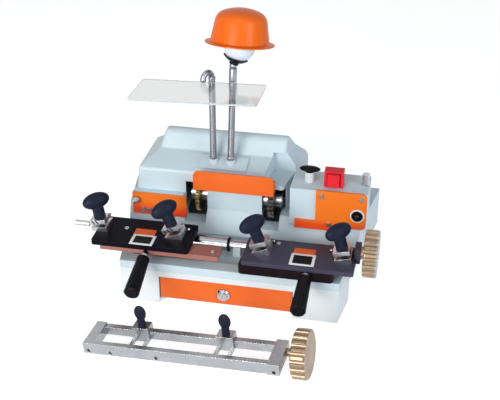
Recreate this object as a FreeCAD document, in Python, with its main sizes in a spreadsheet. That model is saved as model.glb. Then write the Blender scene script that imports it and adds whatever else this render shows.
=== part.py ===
import FreeCAD, Part
import os
import re
import Sketcher
from math import atan2, cos, degrees, pi, sin, sqrt
from FreeCAD import Placement, Rotation, Vector

# Driving dimensions in mm and degrees, which the sheet holds
DIMS = {
    # Cabinet and feet
    "cab_half": 175, "cab_front": -130, "cab_rear": 124, "cab_base": 2,
    "cab_wall": 5, "side_wall": 6, "side_flare": 0.15, "cab_tall": 60,
    "seam_gap": 0, "step_back": -64, "inner_half": 152, "skirt_drop": 22,
    "skirt_gap": 1, "foot_inset": 18, "foot_rear": 108, "foot_radius": 10,
    "foot_hole": 2.5, "pad_size": 24, "pad_tall": 10, "ledge_rise": 4,
    "ledge_thick": 3, "ledge_long": 200, "ledge_reach": 42,
    # Drawer
    "draw_left": -112, "draw_right": 104, "draw_rise": 2, "draw_head": 10,
    "draw_gap": 1.5, "draw_thick": 4, "draw_recess": 3, "tray_left": -108,
    "tray_right": 100, "tray_deep": 183, "tray_drop": 7, "tray_wall": 2,
    "tray_gap": 0.3, "knob_x": -7.5, "knob_rise": 18, "knob_radius": 11,
    "knob_long": 5, "knob_edge": 2.5, "knob_face": 8.8,
    # Bed casting
    "lip_tall": 14, "deck_tall": 46, "deck_front": 2, "slope_run": 28,
    "trough_half": 160, "trough_lip": 22, "trough_deep": 8, "deck_wall": 8,
    "deck_hollow": 180, "hollow_wall": 12, "slot_deep": 20, "slot_fore": 32,
    "slot_aft": 38, "slot_tall": 47, "slotl_wide": 18, "slotl_over": 18,
    "slotr_wide": 10, "slotr_over": 28, "wellr_over": 20, "saddle_half": 10, "saddle_rise": 2,
    "saddle_long": 12, "saddlec_x": -3, "saddlel_x": -163, "saddler_x": 98,
    "end_gap": 18,
    # Guide shaft and fits
    "shaft_y": -64, "shaft_rise": 8, "shaft_radius": 8, "shaft_left": -222,
    "shaft_right": 192, "fit_gap": 0.02, "run_gap": 0.05, "end_play": 1,
    # Spindle and cutters
    "spin_back": 20, "spin_rise": 18, "spin_radius": 8, "spinl_over": 12,
    "spinr_over": 22, "bear_radius": 13, "bear_long": 14, "bearl_x": -58,
    "bearr_x": 10, "block_side": 2, "block_half": 16, "block_rise": 20,
    "cutter_radius": 31, "cutl_x": -80, "cutl_wide": 6, "cutr_x": 40,
    "cutr_wide": 10, "collar_radius": 13, "collar_long": 11, "tooth_radius": 2.2,
    "tooth_count": 24,
    # Belt drive and motor
    "pulley_x": -14, "pulley_wide": 18, "pulley_radius": 15.5, "groove_radius": 12.5,
    "groove_wide": 9, "belt_thick": 2.4, "belt_wide": 8, "belt_gap": 0.1,
    "motor_fore": 38, "motor_rise": 42, "motor_radius": 30, "motor_long": 108,
    "motor_gap": 10, "motor_foot": 24, "foot_start": 14, "motor_foot_long": 80,
    "rotor_radius": 5, "rotor_sunk": 6, "bell_radius": 20, "bell_long": 8,
    # Hood and guard
    "knee_rise": 65, "crease_rise": 18, "top_rise": 38, "eave_rise": 57,
    "hood_step": 0, "crease_back": 43, "top_back": 22, "hood_inset": 0,
    "hood_wall": 3, "hood_flare": 0.2, "hoodl_low": -186, "hoodl_knee": -178,
    "hoodl_crease": -152, "hoodl_top": -142, "hoodr_low": 66, "hoodr_knee": 65,
    "hoodr_crease": 61, "hoodr_top": 61, "hood_round": 6, "ridge_round": 14,
    "notch_left": 28, "notch_right": 80, "notch_lean": 14, "notch_rise": 54,
    "notch_tall": 36, "notch_fore": 12, "notch_deep": 56, "guard_left": -80,
    "guard_right": 52, "guard_reach": 21, "guard_thick": 3, "guard_rise": 45,
    "guard_tall": 34, "roof_rise": 19, "guard_round": 9,
    # Tracer housings and panels
    "trace_reach": 12, "tracel_left": -186, "tracel_right": -100, "tracel_drop": 18,
    "tracel_rise": 26, "tracer_left": 77.5, "tracer_right": 202, "tracer_deep": 64,
    "tracer_drop": 6, "tracer_rise": 60, "panel_thick": 4, "panell_rise": 5,
    "panell_over": 6, "panelr_left": 120, "panelr_rise": 3, "panelr_over": 2,
    "strip_inset": 9, "strip_drop": 7, "strip_tall": 15.5, "strip_over": 32,
    "panel_round": 10, "bolt_radius": 4, "bolt_tall": 2.5, "bolt_inset": 9,
    # Tracers and controls
    "pin_radius": 6, "pin_fit": 0.1, "pinr_inset": 14.5, "pinr_drop": 37,
    "pinr_out": 4, "pinr_in": 44, "pinl_inset": 8, "pinl_drop": 13,
    "pinl_out": 12, "pinl_in": 14, "tip_long": 7, "tip_radius": 2.5,
    "wing_x": 105, "wing_back": 30, "wing_rise": 22, "wing_sunk": 18,
    "wing_stud": 4, "wing_half": 17, "wing_thick": 4.5, "wing_deep": 8,
    "adj_inset": 6.5, "adj_back": 33, "adj_radius": 6.5, "adj_rise": 20,
    "adj_sunk": 16, "adj_stud": 3, "knurl_count": 24, "knurl_radius": 0.9,
    "bezel_inset": 10, "bezel_wide": 31, "bezel_step": 14, "bezel_deep": 18,
    "bezel_tall": 28, "rock_inset": 6, "rock_proud": 5, "rock_deep": 6,
    "rock_rise": 3, "rock_gap": 1.2, "rock_pin": 1.5, "rock_sunk": 1.5,
    "inlet_left": -120, "inlet_wide": 30, "inlet_rise": 12, "inlet_tall": 26,
    "inlet_deep": 8, "inlet_back": 2, "inlet_hole": 9,
    # Swing carriages
    "sleeve_radius": 11, "sleevel_end": 2, "sleevel_out": 59, "sleever_radius": 10,
    "sleever_end": 2, "lug_radius": 15, "lug_half": 13, "web_tall": 8,
    "luga_left": -203, "luga_right": -185, "lugb_left": -120, "lugb_right": -72,
    "lugc_left": 26, "lugc_right": 60, "lugd_left": 150, "lugd_right": 178,
    "arml_end": 2, "arml_right": -14, "arml_deep": 30, "arml_fore": 38,
    "arml_rise": 10, "arml_thick": 8, "platel_end": 14, "platel_right": -62,
    "plate_proud": 2, "platel_aft": 6, "plate_thick": 8, "armr_left": 18,
    "armr_right": 166, "armr_deep": 28, "armr_fore": 46, "armr_drop": 3.5,
    "armr_thick": 14, "armr_round": 6, "plater_left": 22, "plater_right": 196, "plater_fore": 71,
    "plater_aft": 0, "plate_round": 4, "lugw_out": 6, "lugw_half": 12,
    # Handles
    "grip_long": 74, "grip_radius": 10, "grip_end": 12, "grip_edge": 2,
    "grip_angle": 15, "gripr_angle": 8, "stud_radius": 4, "stud_sunk": 2,
    "stud_long": 12, "gripr_stud": 5, "gripl_x": -130, "gripl_rise": 3,
    "gripr_x": 124, "gripr_rise": 9.5, "flute_count": 12, "flute_radius": 1.6,
    "flute_in": 2, "flute_out": 70,
    # Key vises
    "vise_wide": 26, "vise_deep": 30, "vise_stud": 4, "vise_fit": 0.1,
    "vise_lip": 5, "jaw_low": 7, "jaw_gap": 6, "jaw_tall": 7,
    "jaw_sink": 12, "stud_low": 3, "stud_hole": 6, "stem_radius": 9.5,
    "stem_drop": 6, "stem_gap": 0.2, "head_z": 48, "head_long": 22,
    "head_thick": 13.5, "head_deep": 11, "head_turn": 35, "visea_inset": 6,
    "visea_tilt": 9, "viseb_inset": 29, "viseb_tilt": 22, "visec_inset": 28,
    "visec_tilt": 21, "vised_inset": 18, "vised_tilt": 14, "visel_fore": 28,
    "viser_fore": 33,
    # Gauge rod and fluted wheels
    "gauge_rise": 3.4, "gauge_long": 24, "gauge_tail": 16, "gauge_stop": 5,
    "gauge_radius": 4.5, "gauge_pin": 2, "wheel_gap": 5, "wheel_fore": 21,
    "wheel_rise": 24, "wheel_wide": 22, "wheel_radius": 37.5, "rim_bevel": 3,
    "flute_wheel": 4, "flute_wheels": 20, "flute_off": 1.3, "axle_radius": 5,
    "axle_sunk": 5, "hub_radius": 10, "hub_gap": 0.4,
    # Lamp and shield
    "post_x": -38, "post_back": 22, "post_half": 40, "post_deep": 15,
    "post_thick": 3, "boss_radius": 8, "boss_sunk": 3, "boss_rise": 19,
    "lamp_off": 11.5, "shield_off": 17.5, "neck_radius": 5.5, "neck_valley": 4.6,
    "neck_bore": 3.5, "neck_end": 4, "neck_lean": 1.9, "rib_pitch": 3,
    "lamp_ribs": 52, "shield_ribs": 45, "ball_socket": 6, "ball_rise": 4.5,
    "socket_radius": 7.5, "socket_low": 2.5, "cup_lean": 16, "lamp_tilt": 12.5,
    "lamp_lean": 2, "bulb_radius": 25, "bulb_z": 32.5, "cup_gap": 0.6,
    "cup_thick": 2.2, "cup_top": 13.2, "shade_rim": 54, "rim_z": 35.5,
    "rim_thick": 1.6, "shade_side": 46, "side_z": 39.5, "shade_high": 40.5,
    "high_z": 70.5, "shade_bend": 19, "crown_z": 90.5, "shade_thick": 1.8,
    "clip_radius": 12, "clip_wall": 2, "hook_radius": 9, "hook_turn": 235, "ball_radius": 5,
    "sheet_left": -165, "sheet_right": 34, "sheet_front": -72, "sheet_rear": 13.5,
    "sheet_thick": 3, "pane_roll": 1.8, "pane_pitch": 2.3,
    # Loose clamp frame
    "fix_x": -189.5, "fix_y": -274, "fix_yaw": -5.1, "fix_tilt": 5.2,
    "fix_long": 305, "fix_deep": 57, "fix_tall": 18, "end_long": 16,
    "end_proud": 2, "endr_long": 18, "front_bar": 9, "rear_front": 46,
    "rear_back": 56, "rear_low": 3, "rear_top": 16, "hole_radius": 3,
    "hole_deep": 5.4, "hole_z": 5, "hole_one": 43.5, "hole_two": 117,
    "fixw_gap": 13, "fixw_y": 42, "fixw_z": 9, "fix_axle": 6,
    "fix_axle_deep": 9, "clamp_a": 64, "clamp_b": 198, "clamp_wide": 26,
    "clamp_lip": 5, "clamp_low": 0.6, "clamp_roof": 8, "clamp_gap": 0.3,
    "prong_wide": 5, "prong_reach": 26, "screw_radius": 3, "screw_gap": 0.8,
    "screw_rise": 10, "neck_rise": 4, "paddle_rise": 8, "paddle_tall": 13,
    "paddle_half": 9.5, "paddle_thick": 4.5,
}

# Places worked out from the driving dimensions
PLACES = {
    # Cabinet and feet
    "seam_z": "cab_base + cab_tall", "skirt_z": "seam_z - skirt_drop",
    "foot_x": "inner_half - foot_inset", "foot_front": "-foot_rear", "ledge_low": "cab_base + ledge_rise",
    "ledge_top": "ledge_low + ledge_thick",
    # Drawer
    "draw_low": "ledge_top + draw_rise", "draw_top": "seam_z - draw_head",
    "tray_top": "draw_top - tray_drop", "knob_z": "draw_low + knob_rise",
    # Bed casting
    "lip_z": "seam_z + lip_tall", "deck_z": "seam_z + deck_tall",
    "slope_foot": "deck_front - slope_run", "trough_front": "cab_front + trough_lip",
    "trough_z": "lip_z - trough_deep", "hollow_front": "deck_front + hollow_wall",
    "slot_z": "deck_z - slot_deep", "slot_front": "deck_front - slot_fore",
    "slot_back": "spin_y + slot_aft", "slot_top": "deck_z + slot_tall",
    "slotl_left": "cutl_x - slotl_wide", "slotl_right": "cutl_x + slotl_over",
    "slotr_left": "cutr_x - slotr_wide", "slotr_right": "cutr_x + slotr_over",
    "wellr_right": "cutr_x + wellr_over",
    # Guide shaft and fits
    "shaft_z": "lip_z + shaft_rise",
    # Spindle and cutters
    "spin_y": "hood_front + spin_back", "spin_z": "deck_z + spin_rise",
    "spin_left": "cutl_x - spinl_over", "spin_right": "cutr_x + spinr_over",
    "block_top": "spin_z + block_rise",
    # Belt drive and motor
    "motor_y": "hood_rear - motor_fore", "motor_z": "deck_z + motor_rise",
    "motor_left": "motor_right - motor_long", "motor_right": "pulley_x - motor_gap",
    "motor_foot_x": "motor_left + foot_start",
    # Hood and guard
    "hood_knee": "deck_z + knee_rise", "hood_crease": "hood_knee + crease_rise",
    "hood_top": "hood_crease + top_rise", "hood_eave": "deck_z + eave_rise",
    "hood_front": "deck_front + hood_step", "crease_y": "hood_front + crease_back",
    "hoodtop_y": "crease_y + top_back", "hood_rear": "cab_rear - hood_inset",
    "notch_low": "deck_z + notch_rise", "notch_top": "notch_low + notch_tall",
    "notch_front": "hood_front - notch_fore", "notch_back": "hood_front + notch_deep",
    "guard_front": "hood_front - guard_reach", "guard_low": "deck_z + guard_rise",
    "guard_top": "guard_low + guard_tall", "guard_roof": "guard_low + roof_rise",
    # Tracer housings and panels
    "trace_front": "hood_front - trace_reach", "tracel_low": "deck_z - tracel_drop",
    "tracel_top": "deck_z + tracel_rise", "tracer_back": "trace_front + tracer_deep",
    "tracer_low": "deck_z - tracer_drop", "tracer_top": "deck_z + tracer_rise",
    "panel_front": "trace_front - panel_thick", "panell_low": "tracel_low + panell_rise",
    "panell_right": "tracel_right + panell_over", "panelr_low": "tracer_low + panelr_rise",
    "panelr_top": "tracer_top + panelr_over", "strip_left": "tracer_left + strip_inset",
    "strip_right": "panelr_left + strip_over", "strip_low": "panelr_low - strip_drop",
    "strip_top": "strip_low + strip_tall",
    # Tracers and controls
    "pinr_x": "tracer_right - pinr_inset", "pinr_z": "tracer_top - pinr_drop",
    "pinr_front": "panel_front - pinr_out", "pinr_back": "panel_front + pinr_in",
    "pinl_x": "tracel_left + pinl_inset", "pinl_z": "tracel_top - pinl_drop",
    "pinl_front": "panel_front - pinl_out", "pinl_back": "panel_front + pinl_in",
    "wing_y": "trace_front + wing_back", "wing_z": "tracer_top + wing_rise",
    "wing_low": "tracer_top - wing_sunk", "adj_x": "tracer_right - adj_inset",
    "adj_y": "trace_front + adj_back", "adj_top": "tracer_top + adj_rise",
    "adj_low": "tracer_top - adj_sunk", "bezel_left": "panelr_left + bezel_inset",
    "bezel_right": "bezel_left + bezel_wide", "bezel_front": "trace_front + bezel_step",
    "bezel_back": "bezel_front + bezel_deep", "bezel_top": "tracer_top + bezel_tall",
    "rock_left": "bezel_left + rock_inset", "rock_right": "bezel_right - rock_inset",
    "rock_front": "bezel_front - rock_proud", "rock_back": "bezel_front + rock_deep",
    "rock_low": "tracer_top + rock_rise", "rock_top": "bezel_top - rock_rise",
    "inlet_right": "inlet_left + inlet_wide", "inlet_low": "deck_z + inlet_rise",
    "inlet_top": "inlet_low + inlet_tall",
    # Swing carriages
    "sleevel_left": "lugb_left - sleevel_end", "sleevel_right": "lugb_right + sleevel_out",
    "sleever_left": "lugc_left - sleever_end", "sleever_right": "lugc_right + sleever_end",
    "arml_left": "luga_left - arml_end", "arml_front": "arml_back - arml_deep",
    "arml_back": "shaft_y - arml_fore", "arml_low": "shaft_z + arml_rise",
    "arml_top": "arml_low + arml_thick", "platel_left": "arml_left - platel_end",
    "platel_front": "arml_front - plate_proud", "platel_back": "shaft_y + platel_aft",
    "platel_top": "arml_top + plate_thick", "armr_front": "armr_back - armr_deep",
    "armr_back": "shaft_y - armr_fore", "armr_low": "shaft_z - armr_drop",
    "armr_top": "armr_low + armr_thick", "plater_front": "shaft_y - plater_fore",
    "plater_back": "shaft_y + plater_aft", "plater_top": "armr_top + plate_thick",
    "lugw_right": "plater_right + lugw_out", "lugw_front": "wheel_y - lugw_half",
    "lugw_back": "wheel_y + lugw_half", "lugw_top": "wheel_z + lugw_half",
    # Handles
    "gripl_z": "arml_low + gripl_rise", "gripr_z": "armr_low + gripr_rise",
    "flute_start": "stud_long + flute_in", "flute_end": "stud_long + flute_out",
    # Key vises
    "stem_top": "head_z - stem_drop", "visea_x": "platel_left + visea_inset",
    "viseb_x": "platel_right - viseb_inset", "visec_x": "plater_left + visec_inset",
    "vised_x": "plater_right - vised_inset", "visel_y": "shaft_y - visel_fore",
    "viser_y": "shaft_y - viser_fore",
    # Gauge rod and fluted wheels
    "gauge_z": "platel_top + gauge_rise", "gauge_left": "gauge_mid - gauge_long",
    "gauge_mid": "gauge_right - gauge_tail", "gauge_right": "visea_x - gauge_stop",
    "wheel_x": "lugw_right + wheel_gap", "wheel_y": "shaft_y - wheel_fore",
    "wheel_z": "shaft_z + wheel_rise", "axle_left": "lugw_right - axle_sunk",
    "hub_left": "lugw_right + hub_gap",
    # Lamp and shield
    "post_y": "hood_front + post_back", "boss_low": "hood_knee - boss_sunk",
    "boss_top": "hood_knee + boss_rise", "lamp_x": "post_x + lamp_off",
    "shield_x": "post_x - shield_off",
    # Loose clamp frame
    "endr_left": "fix_long - endr_long", "fixw_x": "fix_long + fixw_gap",
    "fix_axle_in": "fix_long - fix_axle_deep", "clamp_front": "rear_front - clamp_lip",
    "clamp_back": "rear_back + clamp_lip", "clamp_top": "rear_top + clamp_roof",
    "screw_low": "rear_top + screw_gap", "screw_top": "clamp_top + screw_rise",
    "screw_neck": "screw_top + neck_rise", "paddle_z": "screw_neck + paddle_rise",
}

doc = FreeCAD.newDocument("machine")
sheet = doc.addObject("Spreadsheet::Sheet", "Dims")


class Values:
    """The present sizes, and two lengths for cutting tools: past a face, and past every piece."""
    OVER = 1.0
    FAR = 700.0


d = Values()
for row, (alias, value) in enumerate(DIMS.items(), start=1):
    sheet.set("A%d" % row, alias)
    sheet.set("B%d" % row, str(value))
    sheet.setAlias("B%d" % row, alias)
    setattr(d, alias, float(value))
doc.recompute()

WORD = re.compile(r"[A-Za-z_]\w*")
NODES = []
EX, EY, EZ = Vector(1, 0, 0), Vector(0, 1, 0), Vector(0, 0, 1)
TURN = {"x": Rotation(EY, 90), "y": Rotation(EX, -90), "z": Rotation()}


# Binding and primitive helpers
def cell(word):
    """The sheet cell, worked-out place or plain tool length that a word of an expression stands for."""
    name = word.group(0)
    if name in PLACES:
        return "(%s)" % WORD.sub(cell, PLACES[name])
    return str(getattr(d, name)) if name.isupper() else "Dims." + name


def bind(obj, prop, text):
    """Drive one property from the sheet."""
    obj.setExpression(prop, WORD.sub(cell, text))


def put(obj, x, y, z):
    """Drive an object's position from the sheet."""
    for axis, text in zip("xyz", (x, y, z)):
        bind(obj, ".Placement.Base." + axis, text)
    return obj


def block(x1, x2, y1, y2, z1, z2):
    """A box given by its low and high faces."""
    obj = doc.addObject("Part::Box", "Block")
    for prop, low, high in (("Length", x1, x2), ("Width", y1, y2), ("Height", z1, z2)):
        bind(obj, prop, "(%s) - (%s)" % (high, low))
    return put(obj, x1, y1, z1)


def rod(axis, low, high, radius, u, v):
    """A cylinder along one axis; u and v are the other two coordinates in order."""
    obj = doc.addObject("Part::Cylinder", "Rod")
    bind(obj, "Radius", radius)
    bind(obj, "Height", "(%s) - (%s)" % (high, low))
    obj.Placement = Placement(Vector(), TURN[axis])
    spot = {"x": (low, u, v), "y": (u, low, v), "z": (u, v, low)}[axis]
    return put(obj, *spot)


def egg(x, y, z, rx, ry, rz):
    """An ellipsoid with three radii."""
    obj = doc.addObject("Part::Ellipsoid", "Egg")
    for prop, text in (("Radius1", rz), ("Radius2", rx), ("Radius3", ry)):
        bind(obj, prop, text)
    return put(obj, x, y, z)


def fuse(*parts):
    obj = doc.addObject("Part::MultiFuse", "Fuse")
    obj.Shapes = list(parts)
    return obj


def cut(base, *tools):
    obj = doc.addObject("Part::Cut", "Cut")
    obj.Base = base
    obj.Tool = tools[0] if len(tools) == 1 else fuse(*tools)
    return obj


def common(first, second):
    obj = doc.addObject("Part::MultiCommon", "Common")
    obj.Shapes = [first, second]
    return obj


def group(*parts):
    obj = doc.addObject("Part::Compound", "Group")
    obj.Links = list(parts)
    return obj


def fixed(shape, name):
    """A shape worked out in code from sheet values."""
    obj = doc.addObject("Part::Feature", name)
    obj.Shape = shape
    return obj


def outline(body, role, points):
    """A closed sketch whose corners are driven by the sheet."""
    plane = [f for f in body.Origin.OriginFeatures if f.Role == role][0]
    sk = body.newObject("Sketcher::SketchObject", "Outline")
    sk.AttachmentSupport = [(plane, "")]
    sk.MapMode = "FlatFace"
    spots = [Vector(number(u), number(v), 0) for u, v in points]
    for i, spot in enumerate(spots):
        sk.addGeometry(Part.LineSegment(spot, spots[(i + 1) % len(spots)]), False)
    for i in range(len(spots)):
        sk.addConstraint(Sketcher.Constraint("Coincident", i, 2, (i + 1) % len(spots), 1))
    for i, corner in enumerate(points):
        for kind, line, text in (("DistanceX", -2, corner[0]), ("DistanceY", -1, corner[1])):
            if text == "0":
                sk.addConstraint(Sketcher.Constraint("PointOnObject", i, 1, line))
                continue
            at = sk.addConstraint(Sketcher.Constraint(kind, -1, 1, i, 1, number(text)))
            sk.renameConstraint(at, "%s_%d" % (kind[-1].lower() + "at", i))
            bind(sk, "Constraints.%s_%d" % (kind[-1].lower() + "at", i), text)
    return sk


def number(text):
    """The present value of a sheet expression made of sums and products."""
    total = 0.0
    for sign, term in re.findall(r"([+-]?)\s*([^+-]+)", text):
        product = 1.0
        for op, factor in re.findall(r"([*/]?)\s*([\w.]+)", term):
            value = size(factor) if WORD.match(factor) else float(factor)
            product = product / value if op == "/" else product * value
        total += -product if sign == "-" else product
    return total


def size(name):
    """The present value of one named size or place."""
    return number(PLACES[name]) if name in PLACES else getattr(d, name)


for name in PLACES:
    setattr(d, name, size(name))


def turned(points, place=None):
    """A solid of revolution about Z from (radius, height) corners."""
    body = doc.addObject("PartDesign::Body", "Turned")
    sk = outline(body, "XZ_Plane", points)
    rev = body.newObject("PartDesign::Revolution", "Revolve")
    rev.Profile = sk
    rev.ReferenceAxis = (sk, ["V_Axis"])
    rev.Angle = 360
    body.Placement = place or Placement()
    return body


def slab(points, length, place=None):
    """A straight pad of a closed outline, upward from the outline's plane."""
    body = doc.addObject("PartDesign::Body", "Slab")
    sk = outline(body, "XY_Plane", points)
    pad = body.newObject("PartDesign::Pad", "Pad")
    pad.Profile = sk
    bind(pad, "Length", length)
    body.Placement = place or Placement()
    return body


def rounded(obj, radius, pick):
    """Fillets on the edges a test picks."""
    doc.recompute()
    out = doc.addObject("Part::Fillet", "Round")
    out.Base = obj
    chosen = [i for i, e in enumerate(obj.Shape.Edges, start=1) if pick(e)]
    out.Edges = [(i, radius, radius) for i in chosen]
    return out


def along(edge, axis):
    """True for a straight edge along one axis."""
    if len(edge.Vertexes) != 2 or not isinstance(edge.Curve, (Part.Line, Part.LineSegment)):
        return False
    run = edge.Vertexes[1].Point - edge.Vertexes[0].Point
    return run.cross(axis).Length < Part.Precision.approximation() * run.Length


def node(name, obj, place=None):
    """Names a finished sub-part."""
    obj.Label = name
    if place is not None:
        obj.Placement = place
    NODES.append(obj)
    return obj


# Cabinet, feet and drawer
def cabinet():
    wide = "cab_half + side_flare * step_back - side_flare * cab_front"
    back = "-cab_half - side_flare * step_back + side_flare * cab_front"
    plan = [("-cab_half", "cab_front"), ("cab_half", "cab_front"), (wide, "step_back"),
            ("inner_half", "step_back"), ("inner_half", "cab_rear"), ("-inner_half", "cab_rear"),
            ("-inner_half", "step_back"), (back, "step_back")]
    shell = slab(plan, "seam_z - cab_base", Placement(Vector(0, 0, d.cab_base), Rotation()))
    left, right = "side_wall - inner_half", "inner_half - side_wall"
    front = "cab_front + cab_wall"
    hollow = block(left, right, front, "cab_rear - cab_wall", "cab_base - OVER", "seam_z - cab_wall")
    mouth = block("draw_left", "draw_right", "cab_front - OVER", front + " + OVER", "0", "draw_top")
    ledges = [block(a, b, front, front + " + ledge_long", "ledge_low", "ledge_top")
              for a, b in ((left, left + " + ledge_reach"), (right + " - ledge_reach", right))]
    spots = [(x, y) for x in ("foot_x", "-foot_x") for y in ("foot_front", "foot_rear")]
    half = "pad_size / 2"
    pads = [block("%s - %s" % (x, half), "%s + %s" % (x, half), "%s - %s" % (y, half), "%s + %s" % (y, half),
                  "cab_base", "cab_base + pad_tall") for x, y in spots]
    holes = [rod("z", "-OVER", "cab_base + pad_tall + OVER", "foot_hole", x, y) for x, y in spots]
    node("base_cabinet", cut(fuse(cut(shell, hollow, mouth), *(ledges + pads)), *holes))
    feet = [cut(rod("z", "0", "cab_base", "foot_radius", x, y),
                rod("z", "-OVER", "cab_base + OVER", "foot_hole", x, y)) for x, y in spots]
    node("rubber_feet", group(*feet))


def drawer():
    face = "cab_front + draw_recess"
    start = face + " + draw_thick"
    node("drawer_front", block("draw_left + draw_gap", "draw_right - draw_gap", face, start,
                               "draw_low", "draw_top - draw_gap"))
    low = "ledge_top + tray_gap"
    box = block("tray_left", "tray_right", start, start + " + tray_deep", low, "tray_top")
    room = block("tray_left + tray_wall", "tray_right - tray_wall", start + " + tray_wall",
                 start + " + tray_deep - tray_wall", low + " + tray_wall", "tray_top + OVER")
    node("drawer_tray", cut(box, room))
    shape = [("0", "0"), ("knob_radius", "0"), ("knob_radius", "knob_long - knob_edge"),
             ("knob_face", "knob_long"), ("0", "knob_long")]
    place = Placement(Vector(d.knob_x, d.cab_front + d.draw_recess, d.knob_z), Rotation(EX, 90))
    node("drawer_knob", turned(shape, place))


# Bed casting with its shaft saddles and spindle bearing blocks
def bed():
    side = [("cab_front", "seam_z + seam_gap"), ("cab_front", "lip_z"), ("slope_foot", "lip_z"),
            ("deck_front", "deck_z"), ("cab_rear", "deck_z"), ("cab_rear", "skirt_z"),
            ("step_back", "skirt_z"), ("step_back", "seam_z + seam_gap")]
    turn = Rotation(Vector(1, 1, 1), 120)
    long_bar = slab(side, "FAR", Placement(Vector(-d.FAR / 2, 0, 0), turn))
    reach = "cab_half + side_flare * cab_rear - side_flare * cab_front"
    back = "-cab_half - side_flare * cab_rear + side_flare * cab_front"
    plan = [("-cab_half", "cab_front"), ("cab_half", "cab_front"), (reach, "cab_rear"), (back, "cab_rear")]
    body = common(long_bar, slab(plan, "deck_z + OVER"))
    floor_z = "seam_z + seam_gap"
    under = block("-inner_half - skirt_gap", "inner_half + skirt_gap", "step_back - seam_gap",
                  "cab_rear + OVER", "skirt_z - OVER", floor_z)
    hollow = block("-deck_hollow", "deck_hollow", "hollow_front", "cab_rear - deck_wall",
                   floor_z + " - OVER", "deck_z - deck_wall")
    trough = block("-trough_half", "trough_half", "trough_front", "slope_foot", "trough_z", "lip_z + OVER")
    slots = [block(a, b, "slot_front", "slot_back", "slot_z", "deck_z + OVER")
             for a, b in (("slotl_left", "slotl_right"), ("slotr_left", "wellr_right"))]
    ends = block("-FAR / 2", "FAR / 2", "shaft_y - end_gap", "shaft_y + end_gap", "trough_z", "lip_z + OVER")
    carved = cut(body, under, hollow, trough, ends, *slots)
    saddles = [block(x, x + " + saddle_long", "shaft_y - saddle_half", "shaft_y + saddle_half",
                     "trough_z", "shaft_z + saddle_rise") for x in ("saddlec_x", "saddlel_x", "saddler_x")]
    blocks = [block(x + " - block_side", x + " + bear_long + block_side", "spin_y - block_half",
                    "spin_y + block_half", "deck_z", "block_top") for x in ("bearl_x", "bearr_x")]
    bore = rod("x", "shaft_left", "shaft_right", "shaft_radius + fit_gap", "shaft_y", "shaft_z")
    seats = [rod("x", x + " - block_side", x + " + bear_long + block_side", "bear_radius + fit_gap",
                 "spin_y", "spin_z") for x in ("bearl_x", "bearr_x")]
    return node("bed_casting", cut(fuse(carved, *(saddles + blocks)), bore, *seats))


# Spindle, cutters, belt drive and motor
def spindle():
    bar = rod("x", "spin_left", "spin_right", "spin_radius", "spin_y", "spin_z")
    nuts = []
    centre = (d.spin_y, d.spin_z)
    for name, start, end in (("left_cutter", "cutl_x", "cutl_x + cutl_wide"),
                             ("right_cutter", "cutr_x", "cutr_x + cutr_wide")):
        nuts.append(rod("x", start + " - collar_long", start, "collar_radius", "spin_y", "spin_z"))
        nuts.append(rod("x", end, end + " + collar_long", "collar_radius", "spin_y", "spin_z"))
        disc = rod("x", start, end, "cutter_radius", "spin_y", "spin_z")
        hole = rod("x", start, end, "spin_radius + fit_gap", "spin_y", "spin_z")
        teeth = rim_cuts("x", start, end, "tooth_radius", "tooth_count", centre, d.cutter_radius)
        node(name, cut(disc, hole, *teeth))
    node("spindle", fuse(bar, *nuts))
    rings = [cut(rod("x", x, x + " + bear_long", "bear_radius", "spin_y", "spin_z"),
                 rod("x", x, x + " + bear_long", "spin_radius + fit_gap", "spin_y", "spin_z"))
             for x in ("bearl_x", "bearr_x")]
    node("spindle_bearings", group(*rings))


def rim_cuts(axis, low, high, radius, count, centre, reach):
    """Small rods around a rim, to be cut from it."""
    tools = []
    total = int(getattr(d, count))
    for k in range(total):
        tool = doc.addObject("Part::Cylinder", "Flute")
        bind(tool, "Radius", radius)
        bind(tool, "Height", "(%s) - (%s)" % (high, low))
        a = 2 * pi * k / total
        u, v = centre[0] + reach * cos(a), centre[1] + reach * sin(a)
        at = Vector(number(low), u, v) if axis == "x" else Vector(u, v, number(low))
        tool.Placement = Placement(at, TURN[axis])
        tools.append(tool)
    return tools


def pulley(y, z):
    """A flanged pulley blank."""
    wide = "pulley_x + pulley_wide"
    mid = "pulley_x + pulley_wide / 2"
    solid = rod("x", "pulley_x", wide, "pulley_radius", y, z)
    low, high = mid + " - groove_wide / 2", mid + " + groove_wide / 2"
    lane = cut(rod("x", low, high, "pulley_radius + OVER", y, z), rod("x", low, high, "groove_radius", y, z))
    return cut(solid, lane)


def drive():
    end = "pulley_x + pulley_wide"
    hole = rod("x", "pulley_x", end, "spin_radius + fit_gap", "spin_y", "spin_z")
    node("spindle_pulley", cut(pulley("spin_y", "spin_z"), hole))
    shaft = rod("x", "motor_right - rotor_sunk", end, "rotor_radius", "motor_y", "motor_z")
    node("motor_pulley", fuse(pulley("motor_y", "motor_z"), shaft))
    body = fuse(rod("x", "motor_left", "motor_right - bell_long", "motor_radius", "motor_y", "motor_z"),
                rod("x", "motor_left", "motor_right", "bell_radius", "motor_y", "motor_z"),
                block("motor_foot_x", "motor_foot_x + motor_foot_long", "motor_y - motor_foot",
                      "motor_y + motor_foot", "deck_z", "motor_z"))
    pocket = rod("x", "motor_right - rotor_sunk - end_play", "motor_right + OVER", "rotor_radius + run_gap",
                 "motor_y", "motor_z")
    node("motor", cut(body, pocket))
    inside = "groove_radius + belt_gap"
    node("drive_belt", cut(loop(inside + " + belt_thick"), loop(inside)))


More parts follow.
